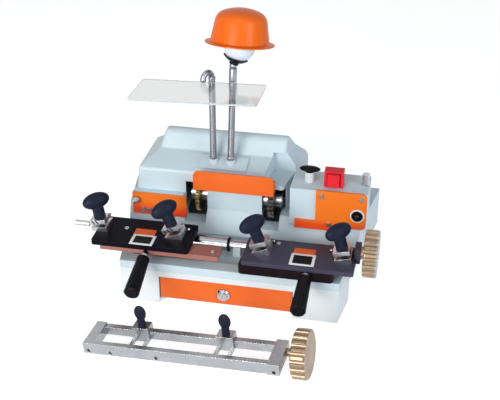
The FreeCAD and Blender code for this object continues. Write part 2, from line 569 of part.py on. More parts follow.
def loop(radius):
    """The long round outline around both pulleys."""
    mid = "pulley_x + pulley_wide / 2"
    low, high = mid + " - belt_wide / 2", mid + " + belt_wide / 2"
    ends = [rod("x", low, high, radius, y, z) for y, z in (("spin_y", "spin_z"), ("motor_y", "motor_z"))]
    run, rise = d.motor_y - d.spin_y, d.motor_z - d.spin_z
    bar = doc.addObject("Part::Box", "Run")
    bind(bar, "Length", "belt_wide")
    bar.Width = sqrt(run * run + rise * rise)
    bind(bar, "Height", "2 * (%s)" % radius)
    lean = Rotation(EX, degrees(atan2(rise, run)))
    start = Vector(number(low), d.spin_y, d.spin_z) + lean.multVec(Vector(0, 0, -number(radius)))
    bar.Placement = Placement(start, lean)
    return fuse(bar, *ends)


# Hood, cutter guard and the plate under the posts
def hood_solid(inset, low):
    """A flat-faced tapered housing with a ridge and a back slope."""
    rows = [(low, d.hood_front, d.hoodl_low, d.hoodr_low),
            (d.hood_knee - inset, d.hood_front, d.hoodl_knee, d.hoodr_knee),
            (d.hood_crease - inset, d.crease_y, d.hoodl_crease, d.hoodr_crease),
            (d.hood_top - inset, d.hoodtop_y, d.hoodl_top, d.hoodr_top)]
    rings = []
    for z, front, left, right in rows:
        front, rear = front + inset, d.hood_rear - inset
        left, right = left + inset, right - inset
        out = right + d.hood_flare * (rear - front)
        corners = ((left, front), (right, front), (out, rear), (left, rear))
        rings.append([Vector(x, y, z) for x, y in corners])
    faces = [rings[0], rings[-1]]
    for lower, upper in zip(rings, rings[1:]):
        for i in range(len(lower)):
            j = (i + 1) % len(lower)
            faces.append([lower[i], lower[j], upper[j], upper[i]])
    shell = Part.makeShell([Part.Face(Part.makePolygon(ring + ring[:1])) for ring in faces])
    return Part.makeSolid(shell).cut(back_slope(inset))


def back_slope(inset):
    """The wedge above the hood's back slope."""
    run, drop = d.hood_rear - d.hoodtop_y, d.hood_top - d.hood_eave
    shift = inset / sqrt(run * run + drop * drop)
    start = Vector(-d.FAR, d.hoodtop_y - shift * drop, d.hood_top - shift * run)
    slope = Vector(0, run, -drop).normalize() * d.FAR
    ring = [start - slope, start + slope, start + slope + EZ * d.FAR, start - slope + EZ * d.FAR]
    return Part.Face(Part.makePolygon(ring + ring[:1])).extrude(EX * 2 * d.FAR)


def notch(grow):
    """The recess at the hood's right front corner."""
    left, right, back = d.notch_left - grow, d.notch_right + grow, d.notch_back + grow
    corners = ((left, d.notch_front), (left + d.notch_lean, back), (right, back), (right, d.notch_front))
    ring = [Vector(x, y, d.notch_low - grow) for x, y in corners]
    face = Part.Face(Part.makePolygon(ring + ring[:1]))
    return face.extrude(Vector(0, 0, d.notch_top - d.notch_low + 2 * grow))


def sharp(shape, edge):
    """True where the two flat faces beside an edge meet at a corner."""
    sides = [f for f in shape.Faces if any(e.isSame(edge) for e in f.Edges)]
    return len(sides) == 2 and all(isinstance(f.Surface, Part.Plane) for f in sides)


def ridged(form, radius):
    """A housing with its top ridge rounded."""
    peak = max(v.Z for v in form.Vertexes)
    ridge = [e for e in form.Edges if along(e, EX) and e.CenterOfMass.z > peak - d.OVER]
    return form.makeFillet(radius, ridge)


def hood():
    soft = ridged(hood_solid(0, d.deck_z), d.ridge_round)
    edges = [e for e in soft.Edges if e.BoundBox.ZMax > d.deck_z + d.OVER and sharp(soft, e)]
    soft = soft.makeFillet(d.hood_round, edges)
    room = ridged(hood_solid(d.hood_wall, d.deck_z - d.OVER), d.ridge_round - d.hood_wall)
    shell = soft.cut(room.cut(notch(d.hood_wall))).cut(notch(0))
    for left, right in ((d.slotl_left, d.slotl_right), (d.slotr_left, d.slotr_right)):
        gap = Part.makeBox(right - left, d.spin_y - d.hood_front + d.hood_wall, d.slot_top - d.deck_z,
                           Vector(left, d.hood_front - d.hood_wall, d.deck_z))
        shell = shell.cut(gap)
    node("hood", fixed(shell, "Hood"))
    return fixed(soft, "HoodForm")


def guard():
    back = "guard_front + guard_thick"
    front = block("guard_left", "guard_right", "guard_front", back, "guard_low", "guard_top")
    face = rounded(front, d.guard_round, lambda e: along(e, EY) and e.BoundBox.ZMin > d.guard_top - d.OVER)
    roof = block("guard_left", "guard_right", back, "hood_front", "guard_roof - guard_thick", "guard_roof")
    spans = (("guard_left", "guard_left + guard_thick"), ("guard_right - guard_thick", "guard_right"))
    cheeks = [block(a, b, back, "hood_front", "guard_low", "guard_roof") for a, b in spans]
    node("cutter_guard", fuse(face, roof, *cheeks))


def post_plate(form):
    rise, run = d.hood_crease - d.hood_knee, d.crease_y - d.hood_front
    height = d.hood_knee + (d.post_y - d.hood_front) * rise / run
    plate = doc.addObject("Part::Box", "Plate")
    bind(plate, "Length", "post_half * 2")
    bind(plate, "Width", "post_deep * 2")
    bind(plate, "Height", "post_thick * 2")
    spin = Rotation(EX, degrees(atan2(rise, run)))
    centre = Vector(d.post_x, d.post_y, height)
    corner = spin.multVec(Vector(-d.post_half, -d.post_deep, -d.post_thick))
    plate.Placement = Placement(centre + corner, spin)
    bosses = [rod("z", "boss_low", "boss_top", "boss_radius", x, "post_y") for x in ("lamp_x", "shield_x")]
    node("post_plate", cut(fuse(plate, *bosses), form))


# Tracer housings, panels, tracers and controls
def tracers(casting, form):
    left = block("tracel_left", "tracel_right", "trace_front", "hood_front + OVER",
                 "tracel_low", "tracel_top")
    right = block("tracer_left", "tracer_right", "trace_front", "tracer_back", "tracer_low", "tracer_top")
    start, wide = "trace_front - OVER", "pin_radius + pin_fit"
    hole = rod("y", start, "hood_front", wide, "pinl_x", "pinl_z")
    holes = [rod("y", start, "pinr_back + tip_long", wide, "pinr_x", "pinr_z"),
             rod("z", "wing_low - wing_stud", "tracer_top + OVER", "wing_stud + pin_fit", "wing_x", "wing_y"),
             rod("z", "adj_low - adj_stud", "tracer_top + OVER", "adj_stud + pin_fit", "adj_x", "adj_y")]
    node("tracer_blocks", group(cut(left, casting, form, hole), cut(right, casting, *holes)))
    back = "panel_front + panel_thick"
    plate = block("tracel_left", "panell_right", "panel_front", back, "panell_low", "tracel_top")
    small = cut(plate, rod("y", "panel_front - OVER", back, wide, "pinl_x", "pinl_z"))
    tall = block("panelr_left", "tracer_right", "panel_front", back, "panelr_low", "panelr_top")
    soft = rounded(tall, d.panel_round, lambda e: along(e, EY) and e.BoundBox.XMin > d.tracer_right - d.OVER)
    strip = block("strip_left", "strip_right", "panel_front", back, "strip_low", "strip_top")
    ring = rod("y", "panel_front - OVER", back, wide, "pinr_x", "pinr_z")
    node("front_panels", group(small, cut(fuse(soft, strip), ring)))
    for name, x, z, front, rear in (("left_tracer", "pinl_x", "pinl_z", "pinl_front", "pinl_back"),
                                    ("right_tracer", "pinr_x", "pinr_z", "pinr_front", "pinr_back")):
        length = "%s - %s" % (rear, front)
        shape = [("0", "0"), ("pin_radius", "0"), ("pin_radius", length + " - tip_long"),
                 ("tip_radius", length), ("0", length)]
        place = Placement(Vector(number(x), number(rear), number(z)), Rotation(EX, 90))
        node(name, turned(shape, place))


def controls():
    stud = rod("z", "wing_low", "wing_z", "wing_stud", "wing_x", "wing_y")
    collar = rod("z", "tracer_top", "wing_z", "wing_deep", "wing_x", "wing_y")
    head = egg("wing_x", "wing_y", "wing_z", "wing_half", "wing_deep", "wing_thick")
    node("tracer_wing", fuse(stud, collar, head))
    post = rod("z", "tracer_top", "adj_top", "adj_radius", "adj_x", "adj_y")
    centre = (d.adj_x, d.adj_y)
    grooves = rim_cuts("z", "tracer_top", "adj_top", "knurl_radius", "knurl_count", centre, d.adj_radius)
    shank = rod("z", "adj_low", "tracer_top", "adj_stud", "adj_x", "adj_y")
    node("adjust_pin", fuse(cut(post, *grooves), shank))
    case = block("bezel_left", "bezel_right", "bezel_front", "bezel_back", "tracer_top", "bezel_top")
    room = block("rock_left - rock_gap", "rock_right + rock_gap", "bezel_front - OVER",
                 "rock_back + rock_gap * 2", "rock_low - rock_gap", "rock_top + rock_gap")
    mid = "rock_low / 2 + rock_top / 2"
    ends = ("rock_left - rock_gap - rock_sunk", "rock_right + rock_gap + rock_sunk")
    pin = rod("x", ends[0], ends[1], "rock_pin", "rock_back - rock_gap", mid)
    seat = rod("x", ends[0], ends[1], "rock_pin + run_gap", "rock_back - rock_gap", mid)
    node("switch_bezel", cut(case, room, seat))
    key = block("rock_left", "rock_right", "rock_front", "rock_back", "rock_low", "rock_top")
    node("switch_rocker", fuse(key, pin))
    end = "hood_rear + inlet_deep"
    hole = rod("y", "hood_rear + inlet_back", end + " + OVER", "inlet_hole",
               "inlet_left / 2 + inlet_right / 2", "inlet_low / 2 + inlet_top / 2")
    body = block("inlet_left", "inlet_right", "hood_rear", end, "inlet_low", "inlet_top")
    node("mains_inlet", cut(body, hole))
    spots = [("tracel_left + bolt_inset * 2", "panell_low + bolt_inset"),
             ("tracel_left + bolt_inset * 3", "panell_low + bolt_inset"),
             ("panelr_left + bolt_inset", "panelr_top - bolt_inset"),
             ("tracer_right - bolt_inset", "panelr_top - bolt_inset"),
             ("strip_right - bolt_inset", "strip_top - bolt_radius")]
    heads = [rod("y", "panel_front - bolt_tall", "panel_front", "bolt_radius", x, z) for x, z in spots]
    node("panel_screws", group(*heads))


# Guide shaft, sleeves and the two swing carriages
def tube(low, high, radius):
    return cut(rod("x", low, high, radius, "shaft_y", "shaft_z"),
               rod("x", low, high, "shaft_radius + run_gap", "shaft_y", "shaft_z"))


def bore(low, high, radius):
    """A running bore through one lug."""
    return rod("x", low + " - OVER", high + " + OVER", radius + " + run_gap", "shaft_y", "shaft_z")


def lug(low, high, top, front):
    """A shaft lug with its web up to the arm."""
    return [rod("x", low, high, "lug_radius", "shaft_y", "shaft_z"),
            block(low, high, "shaft_y - lug_half", "shaft_y + lug_half", "shaft_z", top),
            block(low, high, front, "shaft_y", "%s - web_tall" % top, top)]


def handle(x, front, z, stud, angle):
    """A fluted grip on a stud, leaning down toward the user."""
    end = stud + " + grip_long"
    shape = [("0", "-stud_sunk"), ("stud_radius", "-stud_sunk"), ("stud_radius", stud),
             ("grip_radius - grip_edge", stud), ("grip_radius", stud + " + grip_edge"),
             ("grip_end", end + " - grip_edge"), ("grip_end - grip_edge", end), ("0", end)]
    solid = turned(shape)
    grooves = rim_cuts("z", "flute_start", "flute_end", "flute_radius", "flute_count", (0, 0), d.grip_end)
    return cut(solid, *grooves), Placement(Vector(x, front, z), Rotation(EX, 90 + angle))


def carriages():
    node("guide_shaft", rod("x", "shaft_left", "shaft_right", "shaft_radius", "shaft_y", "shaft_z"))
    node("left_sleeve", tube("sleevel_left", "sleevel_right", "sleeve_radius"))
    node("right_sleeve", tube("sleever_left", "sleever_right", "sleever_radius"))
    parts = [block("arml_left", "arml_right", "arml_front", "arml_back", "arml_low", "arml_top")]
    parts += lug("luga_left", "luga_right", "arml_top", "arml_back")
    parts += lug("lugb_left", "lugb_right", "arml_top", "arml_back")
    bores = [bore("luga_left", "luga_right", "shaft_radius"),
             bore("lugb_left", "lugb_right", "sleeve_radius")]
    arm_l = node("left_arm", cut(fuse(*parts), *bores))
    bar = block("armr_left", "armr_right", "armr_front", "armr_back", "armr_low", "armr_top")
    parts = [rounded(bar, d.armr_round, lambda e: along(e, EZ))]
    parts += lug("lugc_left", "lugc_right", "armr_top", "armr_back")
    parts += lug("lugd_left", "lugd_right", "armr_top", "armr_back")
    above = block("-FAR", "FAR", "-FAR", "FAR", "armr_top", "armr_top + FAR")
    bores = [bore("lugc_left", "lugc_right", "sleever_radius"),
             bore("lugd_left", "lugd_right", "shaft_radius")]
    arm_r = node("right_arm", cut(fuse(*parts), above, *bores))
    plate = block("platel_left", "platel_right", "platel_front", "platel_back", "arml_top", "platel_top")
    soft = rounded(plate, d.plate_round, lambda e: along(e, EZ))
    node("left_plate", cut(soft, *stud_holes("ab", d.visel_y, d.platel_top)))
    plate = block("plater_left", "plater_right", "plater_front", "plater_back", "armr_top", "plater_top")
    ear = block("plater_right - guard_thick", "lugw_right", "lugw_front", "lugw_back", "armr_top", "lugw_top")
    hole = rod("x", "axle_left - end_play", "lugw_right + OVER", "axle_radius + run_gap",
               "wheel_y", "wheel_z")
    soft = rounded(plate, d.plate_round, lambda e: along(e, EZ))
    node("right_plate", cut(fuse(soft, ear), hole, *stud_holes("cd", d.viser_y, d.plater_top)))
    rows = (("left_handle", arm_l, d.gripl_x, d.arml_front, d.gripl_z, "stud_long", d.grip_angle),
            ("right_handle", arm_r, d.gripr_x, d.armr_front, d.gripr_z, "gripr_stud", d.gripr_angle))
    for name, arm, x, front, z, stud, angle in rows:
        grip, place = handle(x, front, z, stud, angle)
        grip.Placement = place
        node(name, cut(grip, arm))


def vise_place(letter, y, top):
    """Where one key vise stands and how it leans."""
    tilt = getattr(d, "vise%s_tilt" % letter)
    return Placement(Vector(getattr(d, "vise%s_x" % letter), y, top), Rotation(EY, -tilt))


def stud_holes(letters, y, top):
    """Blind holes in a plate below its vise studs."""
    tools = []
    for letter in letters:
        tool = cut(rod("z", "-stud_hole", "stud_hole", "vise_stud + vise_fit", "0", "0"),
                   rod("z", "stud_hole - OVER", "stud_hole", "vise_stud * 2", "0", "0"))
        tool.Placement = vise_place(letter, y, top)
        tools.append(tool)
    return tools


def vise(letter, side, y, top):
    """Lower jaw, upper jaw and wing knob of one key vise, leaning on its own axis."""
    place = vise_place(letter, y, top)
    half_x, half_y = "vise_wide / 2", "vise_deep / 2"
    low = block("-" + half_x, half_x, "-" + half_y, half_y, "-jaw_sink", "jaw_low")
    hole = rod("z", "-OVER - jaw_sink", "jaw_low + OVER", "vise_stud + vise_fit", "0", "0")
    lower = cut(low, hole)
    lower.Placement = place
    floor = block("-FAR", "FAR", "-FAR", "FAR", "-FAR", side + "top")
    base = "jaw_low + jaw_gap"
    roof = base + " + jaw_tall"
    jaw = block("-" + half_x, half_x, "-" + half_y, half_y, base, roof)
    step = block("-" + half_x, half_x, half_y + " - vise_lip", half_y, base + " + jaw_tall / 2", roof)
    upper = cut(jaw, step, rod("z", base + " - OVER", roof + " + OVER", "vise_stud + vise_fit", "0", "0"))
    stem_low = roof + " + stem_gap"
    head = egg("0", "0", "head_z", "head_long", "head_deep", "head_thick")
    stud = rod("z", "stud_low", stem_low, "vise_stud", "0", "0")
    knob = fuse(stud, rod("z", stem_low, "stem_top", "stem_radius", "0", "0"), head)
    spin = Placement(place.Base, place.Rotation.multiply(Rotation(EZ, d.head_turn)))
    return cut(lower, floor), (upper, place), (knob, spin)


def vises():
    rows = (("left", "ab", ("outer", "inner"), d.visel_y, d.platel_top),
            ("right", "cd", ("inner", "outer"), d.viser_y, d.plater_top))
    for side, letters, spots, y, top in rows:
        lowers = []
        for letter, spot in zip(letters, spots):
            lower, upper, knob = vise(letter, "plate%s_" % side[0], y, top)
            lowers.append(lower)
            node("%s_jaw_%s" % (side, spot), *upper)
            node("%s_knob_%s" % (side, spot), *knob)
        if side == "left":
            hole = rod("x", "gauge_left", "gauge_right + end_play", "gauge_pin + pin_fit",
                       "visel_y", "gauge_z")
            lowers[0] = cut(lowers[0], hole)
        node("%s_lower_jaws" % side, group(*lowers))
    body = rod("x", "gauge_left", "gauge_mid", "gauge_radius", "visel_y", "gauge_z")
    node("gauge_rod", fuse(body, rod("x", "gauge_mid", "gauge_right", "gauge_pin", "visel_y", "gauge_z")))


def fluted_wheel(low, y, z):
    """A fluted hand wheel across X."""
    end = low + " + wheel_wide"
    disc = rod("x", low, end, "wheel_radius", y, z)
    soft = rounded(disc, d.rim_bevel, lambda e: e.BoundBox.YLength > d.wheel_radius)
    centre = (number(y), number(z))
    flutes = rim_cuts("x", low, end, "flute_wheel", "flute_wheels", centre, d.wheel_radius + d.flute_off)
    return cut(soft, *flutes)


def index_wheel():
    axle = rod("x", "axle_left", "wheel_x + OVER", "axle_radius", "wheel_y", "wheel_z")
    hub = rod("x", "hub_left", "wheel_x + OVER", "hub_radius", "wheel_y", "wheel_z")
    node("index_wheel", fuse(fluted_wheel("wheel_x", "wheel_y", "wheel_z"), axle, hub))


# Lamp and shield on their ribbed posts
def ribbed(ribs, x, y, z):
    """A straight ribbed tube with a bore."""
    count = int(ribs)
    ring = [Vector(d.neck_bore, 0, 0), Vector(d.neck_radius, 0, 0), Vector(d.neck_radius, 0, d.neck_end)]
    for k in range(count):
        low = d.neck_end + k * d.rib_pitch
        ring.append(Vector(d.neck_valley, 0, low + d.rib_pitch / 4))
        ring.append(Vector(d.neck_radius, 0, low + d.rib_pitch / 2))
        ring.append(Vector(d.neck_radius, 0, low + d.rib_pitch))
    top = d.neck_end * 2 + count * d.rib_pitch
    ring += [Vector(d.neck_radius, 0, top), Vector(d.neck_bore, 0, top)]
    solid = Part.Face(Part.makePolygon(ring + ring[:1])).revolve(Vector(), EZ, 360)
    solid.translate(Vector(x, y, z))
    return solid, z + top


def shade_form(inset):
    """A leaning side, a round shoulder and a low dome, set in by the wall or with its rim."""
    side, high = Vector(d.shade_side, 0, d.side_z), Vector(d.shade_high, 0, d.high_z)
    run = (high - side).normalize()
    out = Vector(run.z, 0, -run.x)
    bend, peak, radius = high - out * d.shade_bend, d.crown_z - d.shade_bend, d.shade_bend - inset
    eye = Vector(0, 0, (peak ** 2 - bend.x ** 2 - bend.z ** 2) / (peak - bend.z) / 2)
    meet = (bend - eye).normalize()
    low, floor, crown = side - out * inset, d.rim_z - inset, Vector(0, 0, d.crown_z - inset)
    rim = [Vector(low.x, 0, floor)]
    if inset == 0:
        rim = [Vector(d.shade_rim, 0, floor), Vector(d.shade_rim, 0, floor + d.rim_thick)]
    path = [Vector(0, 0, floor), *rim, low, bend + out * radius]
    sides = [Part.makeLine(start, end) for start, end in zip(path, path[1:])]
    join = bend + meet * radius
    shoulder = Part.Arc(path[-1], bend + (out + meet).normalize() * radius, join).toShape()
    dome = Part.Arc(join, eye + (meet + EZ).normalize() * (crown.z - eye.z), crown).toShape()
    ring = Part.Wire([*sides, shoulder, dome, Part.makeLine(crown, path[0])])
    return Part.Face(ring).revolve(Vector(), EZ, 360)


def lamp():
    foot = Vector(d.lamp_x, d.post_y, d.boss_top)
    neck, top = ribbed(d.lamp_ribs, 0, 0, -d.neck_end)
    ball = Part.makeSphere(d.ball_socket, Vector(0, 0, top + d.ball_rise))
    lean = Rotation(EY, d.neck_lean)
    pivot = foot + lean.multVec(Vector(0, 0, top + d.ball_rise))
    post = neck.fuse(ball).removeSplitter()
    post.Placement = Placement(foot, lean)
    below = Part.makeCylinder(d.FAR, d.FAR, foot - EZ * d.FAR)
    node("lamp_neck", fixed(post.cut(below), "LampNeck"))
    print("lamp pivot %.3f %.3f %.3f" % tuple(pivot))
    back = Rotation(EX, -d.lamp_tilt)
    place = Placement(pivot, Rotation(EY, d.cup_lean).multiply(back))
    shell = d.bulb_radius + d.cup_gap
    bowl = Part.makeSphere(shell + d.cup_thick, Vector(0, 0, d.bulb_z))
    stem = Part.makeCylinder(d.socket_radius, d.bulb_z - shell - d.socket_low, Vector(0, 0, d.socket_low))
    cup = bowl.fuse(stem)
    for tool in (Part.makeSphere(shell, Vector(0, 0, d.bulb_z)), Part.makeSphere(d.ball_socket + d.run_gap),
                 Part.makeCylinder(d.FAR, d.FAR, Vector(0, 0, d.cup_top))):
        cup = cup.cut(tool)
    node("lamp_cup", fixed(cup, "LampCup"), place)
    seat = d.bulb_z - shell
    glass = Part.makeSphere(d.bulb_radius, Vector(0, 0, d.bulb_z))
    pin = Part.makeCylinder(d.pin_radius, d.bulb_z - seat, Vector(0, 0, seat))
    core = Part.makeSphere(shell, Vector(0, 0, d.bulb_z))
    node("lamp_bulb", fixed(glass.fuse(pin.common(core)).removeSplitter(), "LampBulb"), place)
    rise, roof = d.bulb_z + sqrt(d.bulb_radius ** 2 - d.clip_radius ** 2), d.crown_z - d.shade_thick
    ring = [Vector(d.clip_radius, 0, rise), Vector(d.clip_radius + d.clip_wall, 0, rise),
            Vector(d.clip_radius + d.clip_wall, 0, roof), Vector(d.clip_radius, 0, roof)]
    clip = Part.Face(Part.makePolygon(ring + ring[:1])).revolve(Vector(), EZ, 360)
    bell = shade_form(0).cut(shade_form(d.shade_thick)).fuse(clip).removeSplitter()
    turn = Rotation(EY, d.lamp_lean).multiply(back)
    middle = Vector(0, 0, d.bulb_z)
    hang = Placement(place.multVec(middle) - turn.multVec(middle), turn)
    node("lamp_shade", fixed(bell, "LampShade"), hang)


def shield():
    post, top = ribbed(d.shield_ribs, d.shield_x, d.post_y, d.boss_top)
    spin = Rotation(EZ, d.hook_turn)
    ring = Part.makeTorus(d.hook_radius, d.neck_valley, Vector(), EZ, 0, 360, 180)
    ring.Placement = Placement(Vector(d.shield_x, d.post_y, top), spin.multiply(Rotation(EX, 90)))
    ring.translate(spin.multVec(Vector(d.hook_radius, 0, 0)))
    reach = spin.multVec(Vector(2 * d.hook_radius, 0, 0))
    ball_at = Vector(d.shield_x, d.post_y, top) + reach
    ball = Part.makeSphere(d.ball_radius, ball_at)
    node("shield_post", fixed(post.fuse([ring, ball]).removeSplitter(), "ShieldPost"))
    pane = doc.addObject("Part::Box", "Pane")
    bind(pane, "Length", "sheet_right - sheet_left")
    bind(pane, "Width", "sheet_rear - sheet_front")
    bind(pane, "Height", "sheet_thick")
    corner = Vector(d.sheet_left, d.sheet_front, -d.ball_radius - d.sheet_thick)
    pane.Placement = Placement(corner - Vector(ball_at.x, ball_at.y, 0), Rotation())
    soft = rounded(pane, d.plate_round, lambda e: along(e, EZ))
    print("shield pivot %.3f %.3f %.3f" % tuple(ball_at))
    lean = Rotation(EY, -d.pane_roll).multiply(Rotation(EX, -d.pane_pitch))
    node("shield_pane", soft, Placement(ball_at, lean))


# Loose clamp frame in front of the machine
def fixture():
    lean = Rotation(EZ, d.fix_yaw).multiply(Rotation(EY, -d.fix_tilt))
    place = Placement(Vector(d.fix_x, d.fix_y, 0), lean)
    ends = [block("0", "end_long", "0", "fix_deep", "0", "fix_tall"),
            block("endr_left", "fix_long", "-end_proud", "fix_deep + end_proud", "0", "fix_tall")]
    bars = [block("end_long", "endr_left", "0", "front_bar", "0", "fix_tall"),
            block("end_long", "endr_left", "rear_front", "rear_back", "rear_low", "rear_top")]
    seat = rod("x", "fix_axle_in - end_play", "fix_long + OVER", "fix_axle + run_gap", "fixw_y", "fixw_z")
    holes = [rod("y", "-end_proud - OVER", "hole_deep", "hole_radius", x, "hole_z")
             for x in ("end_long / 2", "hole_one", "hole_two", "fix_long - end_long / 2")]
    node("fixture_frame", cut(fuse(*(ends + bars)), seat, *holes), place)
    axle = rod("x", "fix_axle_in", "fixw_x + OVER", "fix_axle", "fixw_y", "fixw_z")
    node("fixture_wheel", fuse(fluted_wheel("fixw_x", "fixw_y", "fixw_z"), axle), place)
    for name, x in (("left", "clamp_a"), ("right", "clamp_b")):
        end = x + " + clamp_wide"
        saddle = block(x, end, "clamp_front", "clamp_back", "clamp_low", "clamp_top")
        tip, top = "clamp_front - prong_reach", "clamp_low + prong_wide"
        prongs = [block(a, b, tip, "clamp_front", "clamp_low", top)
                  for a, b in ((x, x + " + prong_wide"), (end + " - prong_wide", end))]
        gap = block(x + " - OVER", end + " + OVER", "rear_front - clamp_gap", "rear_back + clamp_gap",
                    "rear_low - clamp_gap", "rear_top + clamp_gap")
        mid = x + " + clamp_wide / 2"
        centre = "rear_front / 2 + rear_back / 2"
        hole = rod("z", "rear_top", "clamp_top + OVER", "screw_radius + run_gap", mid, centre)
        node("fixture_clamp_" + name, cut(fuse(saddle, *prongs), gap, hole), place)
        stud = rod("z", "screw_low", "screw_top", "screw_radius", mid, centre)
        collar = rod("z", "clamp_top + stem_gap", "screw_neck", "screw_radius * 2", mid, centre)
        paddle = egg(mid, centre, "paddle_z", "paddle_half", "paddle_thick", "paddle_tall")
        node("fixture_screw_" + name, fuse(stud, collar, paddle), place)


cabinet()
drawer()
casting = bed()
spindle()
drive()
form = hood()
guard()
post_plate(form)
tracers(casting, form)
controls()
carriages()
vises()
index_wheel()
lamp()
shield()
fixture()
doc.recompute()

bad = [o.Label for o in doc.Objects if "Invalid" in o.State or "Error" in o.State]
if bad:
    raise RuntimeError("objects in error: %s" % bad)
os.makedirs("parts", exist_ok=True)
for obj in NODES:
    shape = obj.Shape
    if shape.isNull() or not shape.isValid() or not shape.Solids:
        raise RuntimeError("bad shape: %s" % obj.Label)
    shape.exportStep("parts/%s.step" % obj.Label)
    box = shape.BoundBox
    sizes = (box.XMin, box.XMax, box.YMin, box.YMax, box.ZMin, box.ZMax)
    print(obj.Label, len(shape.Solids), "%.0f mm3" % shape.Volume, ["%.1f" % size for size in sizes])
print(len(NODES), "sub-parts")
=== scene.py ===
# %% [markdown]
# A key duplicating machine clamps two keys side by side: a blunt pin follows the pattern key while
# a cutter copies it into the blank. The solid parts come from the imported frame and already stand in
# their places, so this lesson adds their finishes, the small trim, the light and the camera.

# %% Load the frame
import math

import bmesh
import bpy
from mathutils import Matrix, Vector


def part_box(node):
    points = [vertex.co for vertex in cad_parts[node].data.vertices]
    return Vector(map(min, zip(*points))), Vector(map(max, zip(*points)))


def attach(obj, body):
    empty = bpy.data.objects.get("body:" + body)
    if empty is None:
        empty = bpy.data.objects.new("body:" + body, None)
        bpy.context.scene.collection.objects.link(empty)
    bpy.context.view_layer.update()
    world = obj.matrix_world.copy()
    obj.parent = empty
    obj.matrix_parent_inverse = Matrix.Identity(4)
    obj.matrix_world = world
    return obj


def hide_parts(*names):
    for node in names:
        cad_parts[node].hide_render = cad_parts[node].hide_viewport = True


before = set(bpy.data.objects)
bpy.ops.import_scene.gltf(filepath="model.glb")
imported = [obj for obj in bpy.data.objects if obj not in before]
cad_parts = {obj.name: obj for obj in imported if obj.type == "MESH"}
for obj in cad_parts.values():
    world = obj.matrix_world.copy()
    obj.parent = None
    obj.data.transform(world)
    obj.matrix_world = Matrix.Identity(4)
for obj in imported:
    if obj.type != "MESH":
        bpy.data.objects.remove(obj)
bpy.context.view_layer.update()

MM = 0.001
bpy.ops.object.select_all(action="DESELECT")

# %% [markdown]
# The picture was taken from a little to the right and well above the bench with a longish lens, which
# keeps the upright edges nearly parallel. A camera that stands where that one stood is made first.

# %% Stand the camera where the picture was taken
EYE = Vector((0.2865, -1.3908, 0.9512))
LOOK_AT = Vector((-0.0040, 0.0722, 0.0900))
FILM_WIDE, LENS_LONG = 36, 72
aim = (LOOK_AT - EYE).to_track_quat("-Z", "Y").to_euler()
bpy.ops.object.camera_add(location=EYE, rotation=aim)
camera = bpy.context.object
camera.name = "picture_camera"
camera.data.sensor_width = FILM_WIDE
camera.data.lens = LENS_LONG
bpy.context.scene.camera = camera
bpy.context.scene.view_settings.view_transform = "Standard"
print("the camera stands", round((LOOK_AT - EYE).length, 3), "m away, with a lens of", LENS_LONG, "mm")

# %% [markdown]
# Every finish and the backdrop are node trees. One small function adds a node, sets its sockets and
# properties and links what feeds it, so a tree reads as a list of what it does. Colours are written as
# the hex values a painter would pick on screen, and a second function turns them to linear light.

# %% Two helpers for node trees


def add(tree, kind, settings=None, links=None):
    """Adds one node, with settings by socket or property and links by socket."""
    made = tree.nodes.new(kind)
    for name, value in (settings or {}).items():
        if isinstance(name, int) or name in made.inputs:
            made.inputs[name].default_value = value
        else:
            setattr(made, name, value)
    for name, source in (links or {}).items():
        tree.links.new(source, made.inputs[name])
    return made


def linear(hex_code):
    """The linear colour, with full alpha, of an sRGB hex value."""
    shares = [int(hex_code[i:i + 2], 16) / 255 for i in (0, 2, 4)]
    return [s / 12.92 if s <= 0.04045 else ((s + 0.055) / 1.055) ** 2.4 for s in shares] + [1]


print("a mid grey of 808080 is", round(linear("808080")[0], 3), "in linear light")

# %% [markdown]
# A catalogue picture has a white surround and soft light with hardly a shadow. The world is white for
# the rays that reach the eye straight, through glass or off metal, and dimmer for the rays that light
# the paint, so the surround stays white and the colours keep their depth. That light comes more from the
# sides than from overhead, because in the picture the upright faces are brighter than the slopes.

# %% Light the room evenly
SURROUND, SIDE_LIGHT, TOP_LIGHT = 1.0, 0.66, 0.12


def seen_ray(tree):
    """1 for a ray that the eye follows, straight, off metal or through glass, and 0 for other light."""
    path = add(tree, "ShaderNodeLightPath").outputs
    straight = add(tree, "ShaderNodeMath", {"operation": "MAXIMUM"},
                   {0: path["Is Camera Ray"], 1: path["Is Glossy Ray"]}).outputs[0]
    return add(tree, "ShaderNodeMath", {"operation": "MAXIMUM"},
               {0: straight, 1: path["Is Transmission Ray"]}).outputs[0]


studio = bpy.data.worlds.new("white_studio")
studio.use_nodes = True
bpy.context.scene.world = studio
room = studio.node_tree
toward = add(room, "ShaderNodeTexCoord").outputs["Generated"]
height = add(room, "ShaderNodeSeparateXYZ", None, {0: toward}).outputs["Z"]
ambient = add(room, "ShaderNodeMapRange", {"To Min": SIDE_LIGHT, "To Max": TOP_LIGHT},
              {"Value": height})
level = add(room, "ShaderNodeMix", {"data_type": "FLOAT", 3: SURROUND},
            {0: seen_ray(room), 2: ambient.outputs[0]})
background = room.nodes["Background"]
background.inputs["Color"].default_value = linear("FFFFFF")
room.links.new(level.outputs[0], background.inputs["Strength"])
print("the room lights the paint at", SIDE_LIGHT, "from the side and", TOP_LIGHT, "from above")

# %% [markdown]
# Three soft boxes model the forms: a large one in front and to the left, which leaves the right side of
# the cabinet a little darker, a weaker, cooler one on the right, and a small one overhead for the highlight
# on the lamp shade. Area lamps are used because their size sets how soft a shadow is, as with a real box.

# %% Hang the soft boxes


